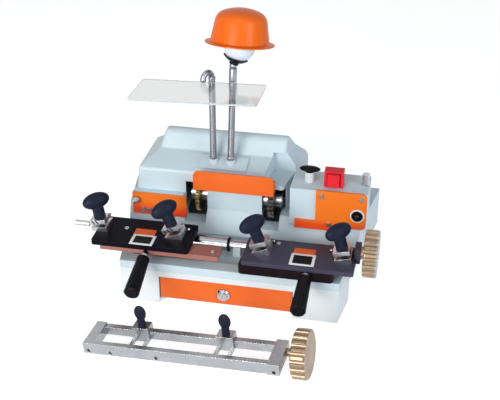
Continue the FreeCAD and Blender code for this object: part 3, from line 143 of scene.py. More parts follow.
def soft_box(name, place, watts, size, colour):
    """An area lamp that faces the middle of the machine."""
    turn = (LOOK_AT - Vector(place)).to_track_quat("-Z", "Y").to_euler()
    bpy.ops.object.light_add(type="AREA", location=place, rotation=turn)
    lamp = bpy.context.object
    lamp.name = name
    lamp.data.energy = watts
    lamp.data.size = size
    lamp.data.color = linear(colour)[:3]


soft_box("key_box", (-0.7, -2.1, 0.75), 36, 1.1, "FFFFFF")
soft_box("right_box", (1.5, -1.0, 0.9), 13, 1.0, "DCEAFF")
soft_box("top_box", (-0.1, -0.75, 1.7), 2, 0.4, "FFFFFF")
print("three soft boxes light the machine")

# %% [markdown]
# The floor is pale and matt and keeps the machine's soft shadow. A little light of its own, only for
# rays that the eye follows, lifts it to the white of the surround. Three dark cards stand at the sides
# and behind the camera, unseen by it, because polished metal looks flat with nothing dark to mirror.

# %% Lay the floor and stand the cards
FLOOR_WIDE, FLOOR_DROP, FLOOR_LIFT, FIBRE = 14.0, 0.2 * MM, 0.62, 60 * MM
bpy.ops.mesh.primitive_plane_add(size=FLOOR_WIDE, location=(0, 0, -FLOOR_DROP))
floor = bpy.context.object
floor.name = "floor"
paper = bpy.data.materials.new("white_paper_sweep")
paper.use_nodes = True
sweep = paper.node_tree
sweep.nodes.remove(sweep.nodes["Principled BSDF"])
fibre = add(sweep, "ShaderNodeTexNoise", {"Scale": 1 / FIBRE, "Detail": 3.0},
            {"Vector": add(sweep, "ShaderNodeTexCoord").outputs["Object"]})
tone = add(sweep, "ShaderNodeMix", {"data_type": "RGBA", 6: linear("F3F4F4"), 7: linear("F9F9F8")},
           {0: fibre.outputs["Fac"]})
matt = add(sweep, "ShaderNodeBsdfDiffuse", None, {"Color": tone.outputs[2]})
lift = add(sweep, "ShaderNodeMath", {"operation": "MULTIPLY", 1: FLOOR_LIFT}, {0: seen_ray(sweep)})
glow = add(sweep, "ShaderNodeEmission", None, {"Strength": lift.outputs[0]})
both = add(sweep, "ShaderNodeAddShader", None, {0: matt.outputs[0], 1: glow.outputs[0]})
sweep.links.new(both.outputs[0], sweep.nodes["Material Output"].inputs["Surface"])
floor.data.materials.append(paper)

flag = bpy.data.materials.new("black_flag_card")
flag.use_nodes = True
shader = flag.node_tree.nodes["Principled BSDF"]
shader.inputs["Base Color"].default_value = linear("17181A")
shader.inputs["Roughness"].default_value = 0.9
BEHIND_EYE = 1.3
CARDS = (("left_card", (-1.5, -0.5, 0.4), 0.9), ("right_card", (1.5, -0.2, 0.4), 0.9),
         ("eye_card", EYE * BEHIND_EYE, 0.8))
for name, place, wide in CARDS:
    turn = (Vector(place) - LOOK_AT).to_track_quat("Z", "Y").to_euler()
    bpy.ops.mesh.primitive_plane_add(size=wide, location=place, rotation=turn)
    card = bpy.context.object
    card.name = name
    card.visible_camera = False
    card.visible_shadow = False
    card.visible_diffuse = False
    card.data.materials.append(flag)
print("the floor is", FLOOR_WIDE, "m wide and", len(CARDS), "cards stand round it")

# %% [markdown]
# All the finishes start the same way: a shader and the place of each point in the part's own space, in
# metres. Real edges are never razor sharp, so a helper rounds the normal near an edge and says how near
# the edge is. The rounded normal gives each edge its thin highlight, and the finishes paint their edges
# in another colour where the mask is: mostly a lighter, painted highlight with a little wear. Another
# helper links what a finish made to its shader, and the last one turns a finish to a second colour
# along one axis, for parts that are painted in two colours.

# %% Start a finish, find the edges, link it and change its colour
EDGE_BEGINS, EDGE_FULL = 0.985, 0.80


def finish(name):
    """A new material with its tree, its shader and the place of each point."""
    made = bpy.data.materials.new(name)
    made.use_nodes = True
    tree = made.node_tree
    return made, tree, tree.nodes["Principled BSDF"], add(tree, "ShaderNodeTexCoord").outputs["Object"]


def edges(tree, radius):
    """The normal rounded over edges of that radius, and a mask that is 1 on an edge."""
    soft = add(tree, "ShaderNodeBevel", {"samples": 4, "Radius": radius}).outputs[0]
    flat = add(tree, "ShaderNodeNewGeometry").outputs["Normal"]
    match = add(tree, "ShaderNodeVectorMath", {"operation": "DOT_PRODUCT"}, {0: soft, 1: flat})
    mask = add(tree, "ShaderNodeMapRange", {"From Min": EDGE_BEGINS, "From Max": EDGE_FULL},
               {"Value": match.outputs["Value"]})
    return soft, mask.outputs[0]


def feed(tree, shader, colour, haze, bump):
    """Links the colour, the haze and the bump of a finish to its shader."""
    tree.links.new(colour.outputs[2], shader.inputs["Base Color"])
    tree.links.new(haze.outputs[0], shader.inputs["Roughness"])
    tree.links.new(bump.outputs[0], shader.inputs["Normal"])


def second_colour(material, axis, start, end, colour):
    """Turns a finish to a second colour between two places along an axis."""
    tree, shader = material.node_tree, material.node_tree.nodes["Principled BSDF"]
    first = shader.inputs["Base Color"].links[0].from_socket
    place = add(tree, "ShaderNodeTexCoord").outputs["Object"]
    along = add(tree, "ShaderNodeSeparateXYZ", None, {0: place}).outputs[axis]
    share = add(tree, "ShaderNodeMapRange", {"From Min": start, "From Max": end}, {"Value": along})
    both = add(tree, "ShaderNodeMix", {"data_type": "RGBA", 7: linear(colour)},
               {0: share.outputs[0], 6: first})
    tree.links.new(both.outputs[2], shader.inputs["Base Color"])


print("finishes can be made")

# %% [markdown]
# The castings and the hood are stove enamelled: a sprayed gloss paint, baked hard. It gives a pale even
# colour, a soft mirror and the faint ripple called orange peel, about 2 mm from crest to crest. The
# panels, the lamp shade and the arm have the same paint in other colours, so one function makes them.

# %% Stove enamel
PEEL, PEEL_DEEP, DRIFT, ENAMEL_EDGE = 2.2 * MM, 0.03 * MM, 90 * MM, 0.9 * MM


def enamel(name, colour, shade, edge_colour, gloss):
    """Baked gloss paint: colour drifting to shade, edges turned to the edge colour, rougher with less
    gloss.
    """
    made, tree, shader, place = finish(name)
    soft, edge = edges(tree, ENAMEL_EDGE)
    drift = add(tree, "ShaderNodeTexNoise", {"Scale": 1 / DRIFT, "Detail": 4.0}, {"Vector": place})
    coat = add(tree, "ShaderNodeMix", {"data_type": "RGBA", 6: linear(colour), 7: linear(shade)},
               {0: drift.outputs["Fac"]})
    # edges take the edge colour: mostly a lighter, painted highlight with a little wear; on the post plate
    # a dark line
    edge_share = add(tree, "ShaderNodeMath", {"operation": "MULTIPLY"}, {0: edge, 1: drift.outputs["Fac"]})
    edge_tinted = add(tree, "ShaderNodeMix", {"data_type": "RGBA", 7: linear(edge_colour)},
                 {0: edge_share.outputs[0], 6: coat.outputs[2]})
    peel = add(tree, "ShaderNodeTexNoise", {"Scale": 1 / PEEL, "Detail": 1.0}, {"Vector": place})
    bump = add(tree, "ShaderNodeBump", {"Strength": 0.25, "Distance": PEEL_DEEP},
               {"Height": peel.outputs["Fac"], "Normal": soft})
    haze = add(tree, "ShaderNodeMapRange", {"To Min": gloss, "To Max": gloss + 0.12},
               {"Value": drift.outputs["Fac"]})
    feed(tree, shader, edge_tinted, haze, bump)
    shader.inputs["Specular IOR Level"].default_value = 0.3
    shader.inputs["Coat Weight"].default_value = 0.2
    shader.inputs["Coat Roughness"].default_value = 0.12
    return made


# the fourth colour of each enamel paints its edges: a painted highlight with a little wear, and on the post
# plate a dark line
pale_enamel = enamel("pale_blue_stove_enamel", "CADADF", "C0D1D8", "E0EAED", 0.38)
white_enamel = enamel("white_stove_enamel", "E2E6E6", "DAE0E0", "EFF2F2", 0.38)
orange_enamel = enamel("orange_stove_enamel", "EC6A1C", "E46016", "F29458", 0.34)
# the arm's salmon is drawn darker than its paint, which paints the shade that falls on it under the plate
shaded_salmon_enamel = enamel("salmon_enamel_painted_shade", "A36A5E", "965E53", "BE8E82", 0.36)
lined_enamel = enamel("seam_lined_stove_enamel", "CADADF", "C0D1D8", "30363A", 0.38)
grey_enamel = enamel("grey_motor_enamel", "6E757A", "646B70", "8A9196", 0.42)
print("six kinds of enamel")

# %% [markdown]
# The lamp shade is spun from thin sheet and sprayed in a deeper orange. Its paint mirrors little, and a
# thin clear coat gives it one soft highlight. The right panel ends in a low strip of a redder orange, as
# the left panel does near its foot, so the panels' paint changes over the height at which the strip ends.

# %% Enamel of the lamp shade and of the panels
shade_enamel = enamel("deep_orange_shade_enamel", "EE6C16", "E66210", "F28A48", 0.40)
shader = shade_enamel.node_tree.nodes["Principled BSDF"]
shader.inputs["Specular IOR Level"].default_value = 0.1
shader.inputs["Coat Weight"].default_value = 0.25
shader.inputs["Coat Roughness"].default_value = 0.12

STRIP_LOW, STRIP_HIGH = 106 * MM, 118 * MM
panel_enamel = enamel("two_tone_orange_enamel", "F27A1E", "EC7018", "F29458", 0.34)
second_colour(panel_enamel, "Z", STRIP_HIGH, STRIP_LOW, "EA4A18")
print("the enamels of the shade and the panels")

# %% [markdown]
# The swing plates are steel with a black baked finish. Its grain is the fine sanding below the paint,
# long in one direction. Drawing the grain as stretched noise gives the broken highlight without any
# visible scratch, and its lighter streaks of colour are a painted sheen. The left plate is a deep black;
# the right plate is drawn lighter, in slate, which paints the sheen it mirrors; the arm below the right
# plate is a warm black.

# %% Black swing plates
PLATE_EDGE, SANDING_LONG, SANDING_FINE, SANDING_DEEP = 0.8 * MM, 40, 0.9, 0.02 * MM


def streaked(tree, place, long_mm, fine_mm):
    """Noise that runs along X: long one way and fine across."""
    spread = add(tree, "ShaderNodeMapping",
                 {"Scale": (1 / (long_mm * MM), 1 / (fine_mm * MM), 1 / (fine_mm * MM))}, {"Vector": place})
    return add(tree, "ShaderNodeTexNoise", {"Scale": 1.0, "Detail": 3.0}, {"Vector": spread.outputs[0]})


def black_plate(name, colour, painted_sheen, rough, mirror):
    """Sanded steel under a black baked finish that mirrors more or less."""
    made, tree, shader, place = finish(name)
    soft, edge = edges(tree, PLATE_EDGE)
    grain = streaked(tree, place, SANDING_LONG, SANDING_FINE)
    # lighter streaks of colour along the grain paint the plate's sheen
    coat = add(tree, "ShaderNodeMix", {"data_type": "RGBA", 6: linear(colour), 7: linear(painted_sheen)},
               {0: grain.outputs["Fac"]})
    # the edges turn lighter: a painted highlight, with a little wear
    edge_tinted = add(tree, "ShaderNodeMix", {"data_type": "RGBA", 7: linear("3E3B47")},
                 {0: edge, 6: coat.outputs[2]})
    haze = add(tree, "ShaderNodeMapRange", {"To Min": rough - 0.06, "To Max": rough + 0.08},
               {"Value": grain.outputs["Fac"]})
    bump = add(tree, "ShaderNodeBump", {"Strength": 0.2, "Distance": SANDING_DEEP},
               {"Height": grain.outputs["Fac"], "Normal": soft})
    feed(tree, shader, edge_tinted, haze, bump)
    shader.inputs["Specular IOR Level"].default_value = mirror
    return made


deep_black = black_plate("deep_black_baked_steel", "0C0B13", "15141D", 0.42, 0.03)
# the right plate's lighter slate colour paints the sheen that it mirrors
painted_sheen_black = black_plate("black_baked_steel_painted_sheen", "3C3A4A", "484656", 0.36, 0.12)
warm_black = black_plate("warm_black_baked_steel", "140B0E", "1F1215", 0.40, 0.06)
print("three blacks")

# %% [markdown]
# Grips and wing knobs are moulded from black phenolic, a hard plastic with a fine matt skin from the
# mould. A grain of about half a millimetre is drawn a little coarser than life, so that it shows. The
# wing on the right housing is black on a grey stem.

# %% Moulded plastic
MOULD_EDGE, SKIN_GRAIN, SKIN_DEEP, MOULD_CLOUD = 0.7 * MM, 0.8 * MM, 0.03 * MM, 18 * MM


def moulded(name, colour, edge_highlight_colour, rough):
    """Hard moulded plastic with a fine matt skin."""
    made, tree, shader, place = finish(name)
    soft, edge = edges(tree, MOULD_EDGE)
    skin = add(tree, "ShaderNodeTexNoise", {"Scale": 1 / SKIN_GRAIN, "Detail": 2.0}, {"Vector": place})
    cloud = add(tree, "ShaderNodeTexNoise", {"Scale": 1 / MOULD_CLOUD, "Detail": 3.0}, {"Vector": place})
    # the edges turn to a lighter colour: a painted highlight, with a little wear
    edge_share = add(tree, "ShaderNodeMath", {"operation": "MULTIPLY"}, {0: edge, 1: cloud.outputs["Fac"]})
    body = add(tree, "ShaderNodeMix", {"data_type": "RGBA", 6: linear(colour), 7: linear(edge_highlight_colour)},
               {0: edge_share.outputs[0]})
    haze = add(tree, "ShaderNodeMapRange", {"To Min": rough - 0.05, "To Max": rough + 0.10},
               {"Value": cloud.outputs["Fac"]})
    bump = add(tree, "ShaderNodeBump", {"Strength": 0.3, "Distance": SKIN_DEEP},
               {"Height": skin.outputs["Fac"], "Normal": soft})
    feed(tree, shader, body, haze, bump)
    shader.inputs["Specular IOR Level"].default_value = 0.1
    return made


phenolic = moulded("black_phenolic", "09090D", "3C3C46", 0.36)
knob_phenolic = moulded("slate_phenolic", "1B2030", "4A5060", 0.40)
wing_phenolic = moulded("black_wing_on_grey_stem", "09090D", "3C3C46", 0.36)
WING_FOOT, WING_SEAM = 186 * MM, 0.3 * MM
second_colour(wing_phenolic, "Z", WING_FOOT, WING_FOOT - WING_SEAM, "CDD1D3")
red_plastic = moulded("red_switch_plastic", "DE2A36", "F0707A", 0.28)
rubber = moulded("black_rubber", "18181A", "3A3A3C", 0.70)
print("five moulded plastics")

# %% [markdown]
# Bright metal differs only by its colour and by how it was finished: chrome is smooth, ground steel has
# fine lines along its length, cast brass is grainy. The lines are finer than the picture can show, so
# they are drawn about a millimetre apart.

# %% Bright metals
METAL_EDGE, DULL_PATCH = 0.5 * MM, 22 * MM


def metal(name, colour, dull, rough, long_mm, fine_mm, depth):
    """Bare metal: lines or grain of that length and width, dulled in patches."""
    made, tree, shader, place = finish(name)
    soft, edge = edges(tree, METAL_EDGE)
    marks = streaked(tree, place, long_mm, fine_mm)
    patch = add(tree, "ShaderNodeTexNoise", {"Scale": 1 / DULL_PATCH, "Detail": 4.0}, {"Vector": place})
    skin = add(tree, "ShaderNodeMix", {"data_type": "RGBA", 6: linear(colour), 7: linear(dull)},
               {0: patch.outputs["Fac"]})
    # the edges turn near white: a painted highlight, with a little wear
    edge_tinted = add(tree, "ShaderNodeMix", {"data_type": "RGBA", 7: linear("F2F2F0")},
                 {0: edge, 6: skin.outputs[2]})
    haze = add(tree, "ShaderNodeMapRange", {"To Min": rough, "To Max": rough + 0.14},
               {"Value": patch.outputs["Fac"]})
    bump = add(tree, "ShaderNodeBump", {"Strength": 0.3, "Distance": depth * MM},
               {"Height": marks.outputs["Fac"], "Normal": soft})
    feed(tree, shader, edge_tinted, haze, bump)
    shader.inputs["Metallic"].default_value = 1.0
    return made


chrome = metal("hard_chrome", "B6B8BD", "A4A6AC", 0.06, 60, 6, 0.004)
nickel = metal("grey_nickel", "A9ACB1", "94979D", 0.27, 60, 6, 0.004)
ground_steel = metal("ground_steel", "C4C4C8", "ABABB1", 0.22, 30, 1.0, 0.02)
gold_coat = metal("gold_coated_tool_steel", "93803F", "6A5A2E", 0.28, 4, 1.5, 0.03)
dark_steel_and_gap_shade = metal("oiled_tool_steel_and_painted_gap_shade", "4A4644", "2E2B2A", 0.34, 4, 1.5, 0.03)
frame_steel = metal("milled_frame_steel", "B3B4B7", "989A9E", 0.20, 8, 1.2, 0.02)
sheet_zinc = metal("galvanised_sheet", "C2C8CC", "A8AFB4", 0.36, 14, 10, 0.02)
print("seven bright metals")

# %% [markdown]
# The two fluted wheels are cast in brass and then turned. The index wheel wears a grey ring on its outer
# end, which is found by its place along the axle: every point beyond the ring's edge turns to steel grey.

# %% Brass
brass = metal("cast_brass", "A08B73", "7F6A55", 0.26, 2, 1.4, 0.03)
RING_SHARE, RING_SEAM = 0.10, 0.1 * MM
wheel_low, wheel_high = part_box("index_wheel")
ring_edge = wheel_high.x - RING_SHARE * (wheel_high.x - wheel_low.x)
second_colour(brass, "X", ring_edge, ring_edge + RING_SEAM, "9C9894")
print("brass for the fluted wheels")

# %% [markdown]
# The shield is a sheet of clear acrylic about 3 mm thick: water-clear through its faces, with a faint
# cool tint where light runs along it to the edges. It is the one finish that is mostly transmission.

# %% Clear acrylic
SMEAR, ACRYLIC_IOR = 35 * MM, 1.49
acrylic, tree, shader, place = finish("clear_acrylic_sheet")
smear = add(tree, "ShaderNodeTexNoise", {"Scale": 1 / SMEAR, "Detail": 4.0}, {"Vector": place})
haze = add(tree, "ShaderNodeMapRange", {"To Min": 0.02, "To Max": 0.10}, {"Value": smear.outputs["Fac"]})
tree.links.new(haze.outputs[0], shader.inputs["Roughness"])
shader.inputs["Base Color"].default_value = linear("DEDEDE")
shader.inputs["Transmission Weight"].default_value = 1.0
shader.inputs["IOR"].default_value = ACRYLIC_IOR
print("clear acrylic for the shield")

# %% [markdown]
# The lamp's bulb is glass, frosted white inside, so it shows as a milky white ball with a soft mirror.
# A little light passes below its surface, which subsurface scattering gives.

# %% Frosted bulb glass
FROST_CLOUD, FROST_DEEP = 12 * MM, 4 * MM
bulb_glass, tree, shader, place = finish("frosted_bulb_glass")
cloud = add(tree, "ShaderNodeTexNoise", {"Scale": 1 / FROST_CLOUD, "Detail": 2.0}, {"Vector": place})
milk = add(tree, "ShaderNodeMix", {"data_type": "RGBA", 6: linear("DEE6EE"), 7: linear("CFD9E3")},
           {0: cloud.outputs["Fac"]})
tree.links.new(milk.outputs[2], shader.inputs["Base Color"])
shader.inputs["Roughness"].default_value = 0.22
shader.inputs["Subsurface Weight"].default_value = 0.3
shader.inputs["Subsurface Radius"].default_value = (FROST_DEEP, FROST_DEEP, FROST_DEEP)
shader.inputs["Subsurface Scale"].default_value = 1.0
shader.inputs["Emission Color"].default_value = linear("EAF2FF")
shader.inputs["Emission Strength"].default_value = 0.05
print("frosted glass for the bulb")

# %% [markdown]
# Each solid part now takes its finish. The table goes by finish, because a maker also buys or paints
# the parts in such batches.

# %% Dress the solid parts
BATCHES = (
    (pale_enamel, "bed_casting hood tracer_blocks"),
    (lined_enamel, "post_plate"),
    (white_enamel, "base_cabinet"),
    (orange_enamel, "drawer_front cutter_guard"),
    (panel_enamel, "front_panels"),
    (shade_enamel, "lamp_shade"),
    (shaded_salmon_enamel, "left_arm"),
    (grey_enamel, "motor"),
    (deep_black, "left_plate"),
    (painted_sheen_black, "right_plate"),
    (warm_black, "right_arm"),
    (phenolic, "left_handle right_handle mains_inlet lamp_cup"),
    (wing_phenolic, "tracer_wing"),
    (knob_phenolic, "left_knob_outer left_knob_inner right_knob_inner right_knob_outer"
                    " fixture_screw_left fixture_screw_right"),
    (red_plastic, "switch_rocker switch_bezel"),
    (rubber, "rubber_feet drive_belt"),
    (chrome, "guide_shaft left_sleeve right_sleeve drawer_knob"),
    (nickel, "lamp_neck shield_post"),
    (ground_steel, "left_jaw_outer left_jaw_inner left_lower_jaws right_jaw_inner right_jaw_outer"
                   " right_lower_jaws gauge_rod adjust_pin spindle spindle_bearings spindle_pulley"
                   " motor_pulley left_tracer panel_screws"),
    (dark_steel_and_gap_shade, "right_cutter right_tracer"),
    (gold_coat, "left_cutter"),
    (frame_steel, "fixture_frame fixture_clamp_left fixture_clamp_right"),
    (sheet_zinc, "drawer_tray"),
    (brass, "index_wheel fixture_wheel"),
    (acrylic, "shield_pane"),
    (bulb_glass, "lamp_bulb"),
)
for material, names in BATCHES:
    for name in names.split():
        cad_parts[name].data.materials.clear()
        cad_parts[name].data.materials.append(material)
print("dressed", sum(len(names.split()) for _, names in BATCHES), "of", len(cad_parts), "parts")

# %% [markdown]
# The small trim is modelled by hand from here on: a primitive, shaped in edit mode, with its sharp edges
# softened. Four helpers do what every piece needs. One picks faces by their place and direction, one
# opens a new primitive for editing with its finish, one softens the edges, and one puts the piece on its
# body.

# %% Helpers for modelling
SMOOTH_BELOW = math.radians(35)


def pick(test):
    """Selects, in edit mode, the faces whose centre and normal pass a test."""
    mesh = bmesh.from_edit_mesh(bpy.context.edit_object.data)
    bpy.ops.mesh.select_mode(type="FACE")
    bpy.ops.mesh.select_all(action="DESELECT")
    for face in mesh.faces:
        face.select_set(test(face.calc_center_median(), face.normal))
    bmesh.update_edit_mesh(bpy.context.edit_object.data)


def begin(*materials):
    """Makes the new primitive's place its mesh's own, gives it materials and opens it for editing."""
    piece = bpy.context.object
    bpy.ops.object.transform_apply(location=True, rotation=True, scale=True)
    for material in materials:
        piece.data.materials.append(material)
    bpy.ops.object.mode_set(mode="EDIT")
    return piece


def soften(width, segments=2):
    """Rounds the sharp edges of the open piece and closes it."""
    bpy.ops.object.mode_set(mode="OBJECT")
    rounding = bpy.context.object.modifiers.new("soft_edges", "BEVEL")
    rounding.width = width
    rounding.segments = segments
    rounding.limit_method = "ANGLE"
    bpy.ops.object.modifier_apply(modifier=rounding.name)


def settle(name, body):
    """Names the piece, smooths its round faces and puts it on its body."""
    piece = bpy.context.object
    bpy.ops.object.transform_apply(location=True, rotation=True, scale=True)
    bpy.ops.object.shade_smooth_by_angle(angle=SMOOTH_BELOW)
    piece.name = name
    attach(piece, body)
    bpy.ops.object.select_all(action="DESELECT")
    return piece


print("modelling helpers are ready")

# %% [markdown]
# Lamp and shield stand on goosenecks, tubes wound from a shaped strip, whose ribs show as bright beads
# with dark gaps. One rib is drawn as a ring that swells and closes, and an Array stacks it, as the strip
# repeats on the real tube. The gap takes the dark steel finish, which paints the shade in the groove.

# %% One rib, stacked
NECK_RADIUS, NECK_GAP_RADIUS, RIB_PITCH, RIB_STEPS = 5.5 * MM, 4.6 * MM, 3.0 * MM, 8
NECK_END, NECK_SIDES, SLEEVE_SIDES, BALL_FLAT = 4.0 * MM, 32, 40, 0.97
MERGE_BELOW, SLEEVE_RIM = 0.01 * MM, 0.5 * MM


def rib_radius(step):
    """The radius of the rib after so many steps of its pitch."""
    swell = math.sin(math.pi * step / RIB_STEPS) ** 0.5
    return NECK_GAP_RADIUS + (NECK_RADIUS - NECK_GAP_RADIUS) * swell


def gooseneck(count):
    """A ribbed tube that starts at the origin and stands upright."""
    bpy.ops.mesh.primitive_circle_add(vertices=NECK_SIDES, radius=rib_radius(0), location=(0, 0, NECK_END))
    tube = begin(nickel, dark_steel_and_gap_shade)
    bpy.ops.mesh.select_all(action="SELECT")
    for step in range(RIB_STEPS):
        bpy.ops.mesh.extrude_edges_move(TRANSFORM_OT_translate={"value": (0, 0, RIB_PITCH / RIB_STEPS)})
        swell = rib_radius(step + 1) / rib_radius(step)
        bpy.ops.transform.resize(value=(swell, swell, 1), center_override=(0, 0, 0))
    low, high = NECK_END + RIB_PITCH / RIB_STEPS, NECK_END + RIB_PITCH * (1 - 1 / RIB_STEPS)
    # the faces near the gap take the dark steel: painted shade in the groove
    pick(lambda at, normal: at.z < low or at.z > high)
    tube.active_material_index = 1
    bpy.ops.object.material_slot_assign()
    bpy.ops.object.mode_set(mode="OBJECT")
    stack = tube.modifiers.new("stack", "ARRAY")
    stack.count = count
    stack.use_relative_offset = False
    stack.use_constant_offset = True
    stack.constant_offset_displace = (0, 0, RIB_PITCH)
    stack.use_merge_vertices = True
    stack.merge_threshold = MERGE_BELOW
    bpy.ops.object.modifier_apply(modifier=stack.name)
    bpy.ops.object.mode_set(mode="EDIT")
    bpy.ops.mesh.select_all(action="SELECT")
    bpy.ops.mesh.fill_holes(sides=0)
    bpy.ops.mesh.normals_make_consistent(inside=False)
    bpy.ops.object.mode_set(mode="OBJECT")
    return tube


def sleeve(radius, low, high):
    """A plain sleeve round the upright axis, with rounded rims."""
    bpy.ops.mesh.primitive_cylinder_add(vertices=SLEEVE_SIDES, radius=radius, depth=high - low,
                                        location=(0, 0, (low + high) / 2))
    made = begin(nickel)
    soften(SLEEVE_RIM)
    return made


def ball(radius, place):
    """A bright ball with a small flat at its top, as turned on a lathe."""
    bpy.ops.mesh.primitive_uv_sphere_add(segments=40, ring_count=24, radius=radius, location=place)
    made = begin(nickel)
    bpy.ops.mesh.select_all(action="SELECT")
    flat = Vector(place) + Vector((0, 0, radius * BALL_FLAT))
    bpy.ops.mesh.bisect(plane_co=flat, plane_no=(0, 0, 1), clear_outer=True, use_fill=True)
    bpy.ops.object.mode_set(mode="OBJECT")
    return made


def weld(main, *others):
    """Joins pieces into the first one."""
    bpy.ops.object.select_all(action="DESELECT")
    for piece in (main, *others):
        piece.select_set(True)
    bpy.context.view_layer.objects.active = main
    bpy.ops.object.join()
    return main


print("a rib swells to", NECK_RADIUS / MM, "mm")

# %% [markdown]
# The lamp's neck leans a little to the right and ends in the ball that the lamp head turns on. Its upper
# end wears a smooth sleeve. It stands for the plain tube of the frame, in the same place.

# %% The lamp's gooseneck
LAMP_FOOT, LAMP_RIBS, LAMP_LEAN = Vector((-26.5, 24, 192)) * MM, 52, math.radians(1.9)
BALL_RADIUS, BALL_RISE = 6.0 * MM, 4.5 * MM
FOOT_SLEEVE, UPPER_SLEEVE, UPPER_LONG = 6.1 * MM, 6.3 * MM, 37 * MM
lamp_top = NECK_END + LAMP_RIBS * RIB_PITCH
lamp_tube = gooseneck(LAMP_RIBS)
lamp_tube.location.z = -NECK_END
neck = weld(lamp_tube, sleeve(FOOT_SLEEVE, 0, NECK_END),
            sleeve(UPPER_SLEEVE, lamp_top - UPPER_LONG, lamp_top),
            ball(BALL_RADIUS, (0, 0, lamp_top + BALL_RISE)))
bpy.ops.object.transform_apply(location=True)
neck.rotation_euler.y = LAMP_LEAN
neck.location = LAMP_FOOT
lamp_neck = settle("lamp_gooseneck", "machine")
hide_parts("lamp_neck")
print("the lamp's neck reaches", round(lamp_neck.bound_box[1][2] / MM, 1), "mm")

# %% [markdown]
# The shield's neck stands upright and bends over in a half circle to the ball that carries the sheet.
# The bend is a ring of the tube spun half round, with its doubles merged and its faces turned outwards.

# %% The shield's gooseneck
SHIELD_FOOT, SHIELD_RIBS = Vector((-55.5, 24, 192)) * MM, 45
HOOK_RADIUS, HOOK_TURN, HOOK_BALL, POST_SLEEVE = 9 * MM, math.radians(235), 5 * MM, 6.0 * MM
shield_top = 2 * NECK_END + SHIELD_RIBS * RIB_PITCH
bpy.ops.mesh.primitive_circle_add(vertices=NECK_SIDES, radius=NECK_GAP_RADIUS, location=(0, 0, shield_top))
hook = begin(nickel)
bpy.ops.mesh.select_all(action="SELECT")
bpy.ops.mesh.spin(steps=24, angle=math.pi, center=(HOOK_RADIUS, 0, shield_top), axis=(0, -1, 0))
bpy.ops.mesh.select_all(action="SELECT")
bpy.ops.mesh.remove_doubles(threshold=MERGE_BELOW)
bpy.ops.mesh.fill_holes(sides=0)
bpy.ops.mesh.normals_make_consistent(inside=False)
bpy.ops.object.mode_set(mode="OBJECT")
shield_tube = gooseneck(SHIELD_RIBS)
post = weld(shield_tube, sleeve(POST_SLEEVE, 0, NECK_END),
            sleeve(POST_SLEEVE, shield_top - NECK_END, shield_top),
            hook, ball(HOOK_BALL, (2 * HOOK_RADIUS, 0, shield_top)))
post.rotation_euler.z = HOOK_TURN
post.location = SHIELD_FOOT
shield_post = settle("shield_gooseneck", "shield_post")
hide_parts("shield_post")
print("the shield's neck has", len(shield_post.data.polygons), "faces")

# %% [markdown]
# The shield itself is a plain sheet with rounded corners, carried below the ball and tipped a little
# forward. A cube is scaled to its size, its four upright edges are rounded, and its narrow faces get the
# milky finish that sawn and polished acrylic has at its edges.

# %% The shield's sheet
EDGE_CLOUD = 15 * MM
polished_edge, tree, shader, place = finish("polished_acrylic_edge")
cloud = add(tree, "ShaderNodeTexNoise", {"Scale": 1 / EDGE_CLOUD, "Detail": 2.0}, {"Vector": place})
milk = add(tree, "ShaderNodeMix", {"data_type": "RGBA", 6: linear("B4B8B9"), 7: linear("C2C6C6")},
           {0: cloud.outputs["Fac"]})
tree.links.new(milk.outputs[2], shader.inputs["Base Color"])
shader.inputs["Roughness"].default_value = 0.25

SHEET_LOW, SHEET_HIGH = Vector((-165, -72, 0)) * MM, Vector((34, 13.5, 0)) * MM
SHEET_THICK, SHEET_ROUND = 3 * MM, 4 * MM
SHEET_ROLL, SHEET_PITCH = math.radians(-1.8), math.radians(-2.3)
hook_end = Vector((math.cos(HOOK_TURN), math.sin(HOOK_TURN), 0)) * 2 * HOOK_RADIUS
shield_ball = SHIELD_FOOT + hook_end + Vector((0, 0, shield_top))
middle = (SHEET_LOW + SHEET_HIGH) / 2 - shield_ball
middle.z = -HOOK_BALL - SHEET_THICK / 2
span = SHEET_HIGH - SHEET_LOW
bpy.ops.mesh.primitive_cube_add(size=1, location=middle, scale=(span.x, span.y, SHEET_THICK))
sheet = begin(acrylic, polished_edge)
bpy.ops.mesh.select_mode(type="EDGE")
bpy.ops.mesh.select_all(action="DESELECT")
upright = bmesh.from_edit_mesh(sheet.data)
for edge in upright.edges:
    edge.select_set(abs(edge.verts[0].co.z - edge.verts[1].co.z) > SHEET_THICK / 2)
bmesh.update_edit_mesh(sheet.data)
bpy.ops.mesh.bevel(offset=SHEET_ROUND, segments=8, affect="EDGES")
pick(lambda at, normal: abs(normal.z) < 0.5)
sheet.active_material_index = 1
bpy.ops.object.material_slot_assign()
bpy.ops.object.mode_set(mode="OBJECT")
sheet.rotation_euler = (SHEET_PITCH, SHEET_ROLL, 0)
sheet.location = shield_ball
shield_sheet = settle("shield_sheet", "shield_pane")
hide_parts("shield_pane")
print("the sheet is", [round(x / MM) for x in span[:2]], "mm")

# %% [markdown]
# Round trim on this machine is mostly rings: the stop collar on the shaft, the white bush round the
# tracer and the ferrules of the two grips. A cylinder is opened at both ends by an inset, the inner
# faces are cleared away and the two loops bridged, which leaves a ring with a true bore.

# %% Rings
white_nylon = moulded("white_nylon", "EDEDE6", "FAFAF6", 0.40)
RING_SIDES, RING_RIM = 48, 0.4 * MM


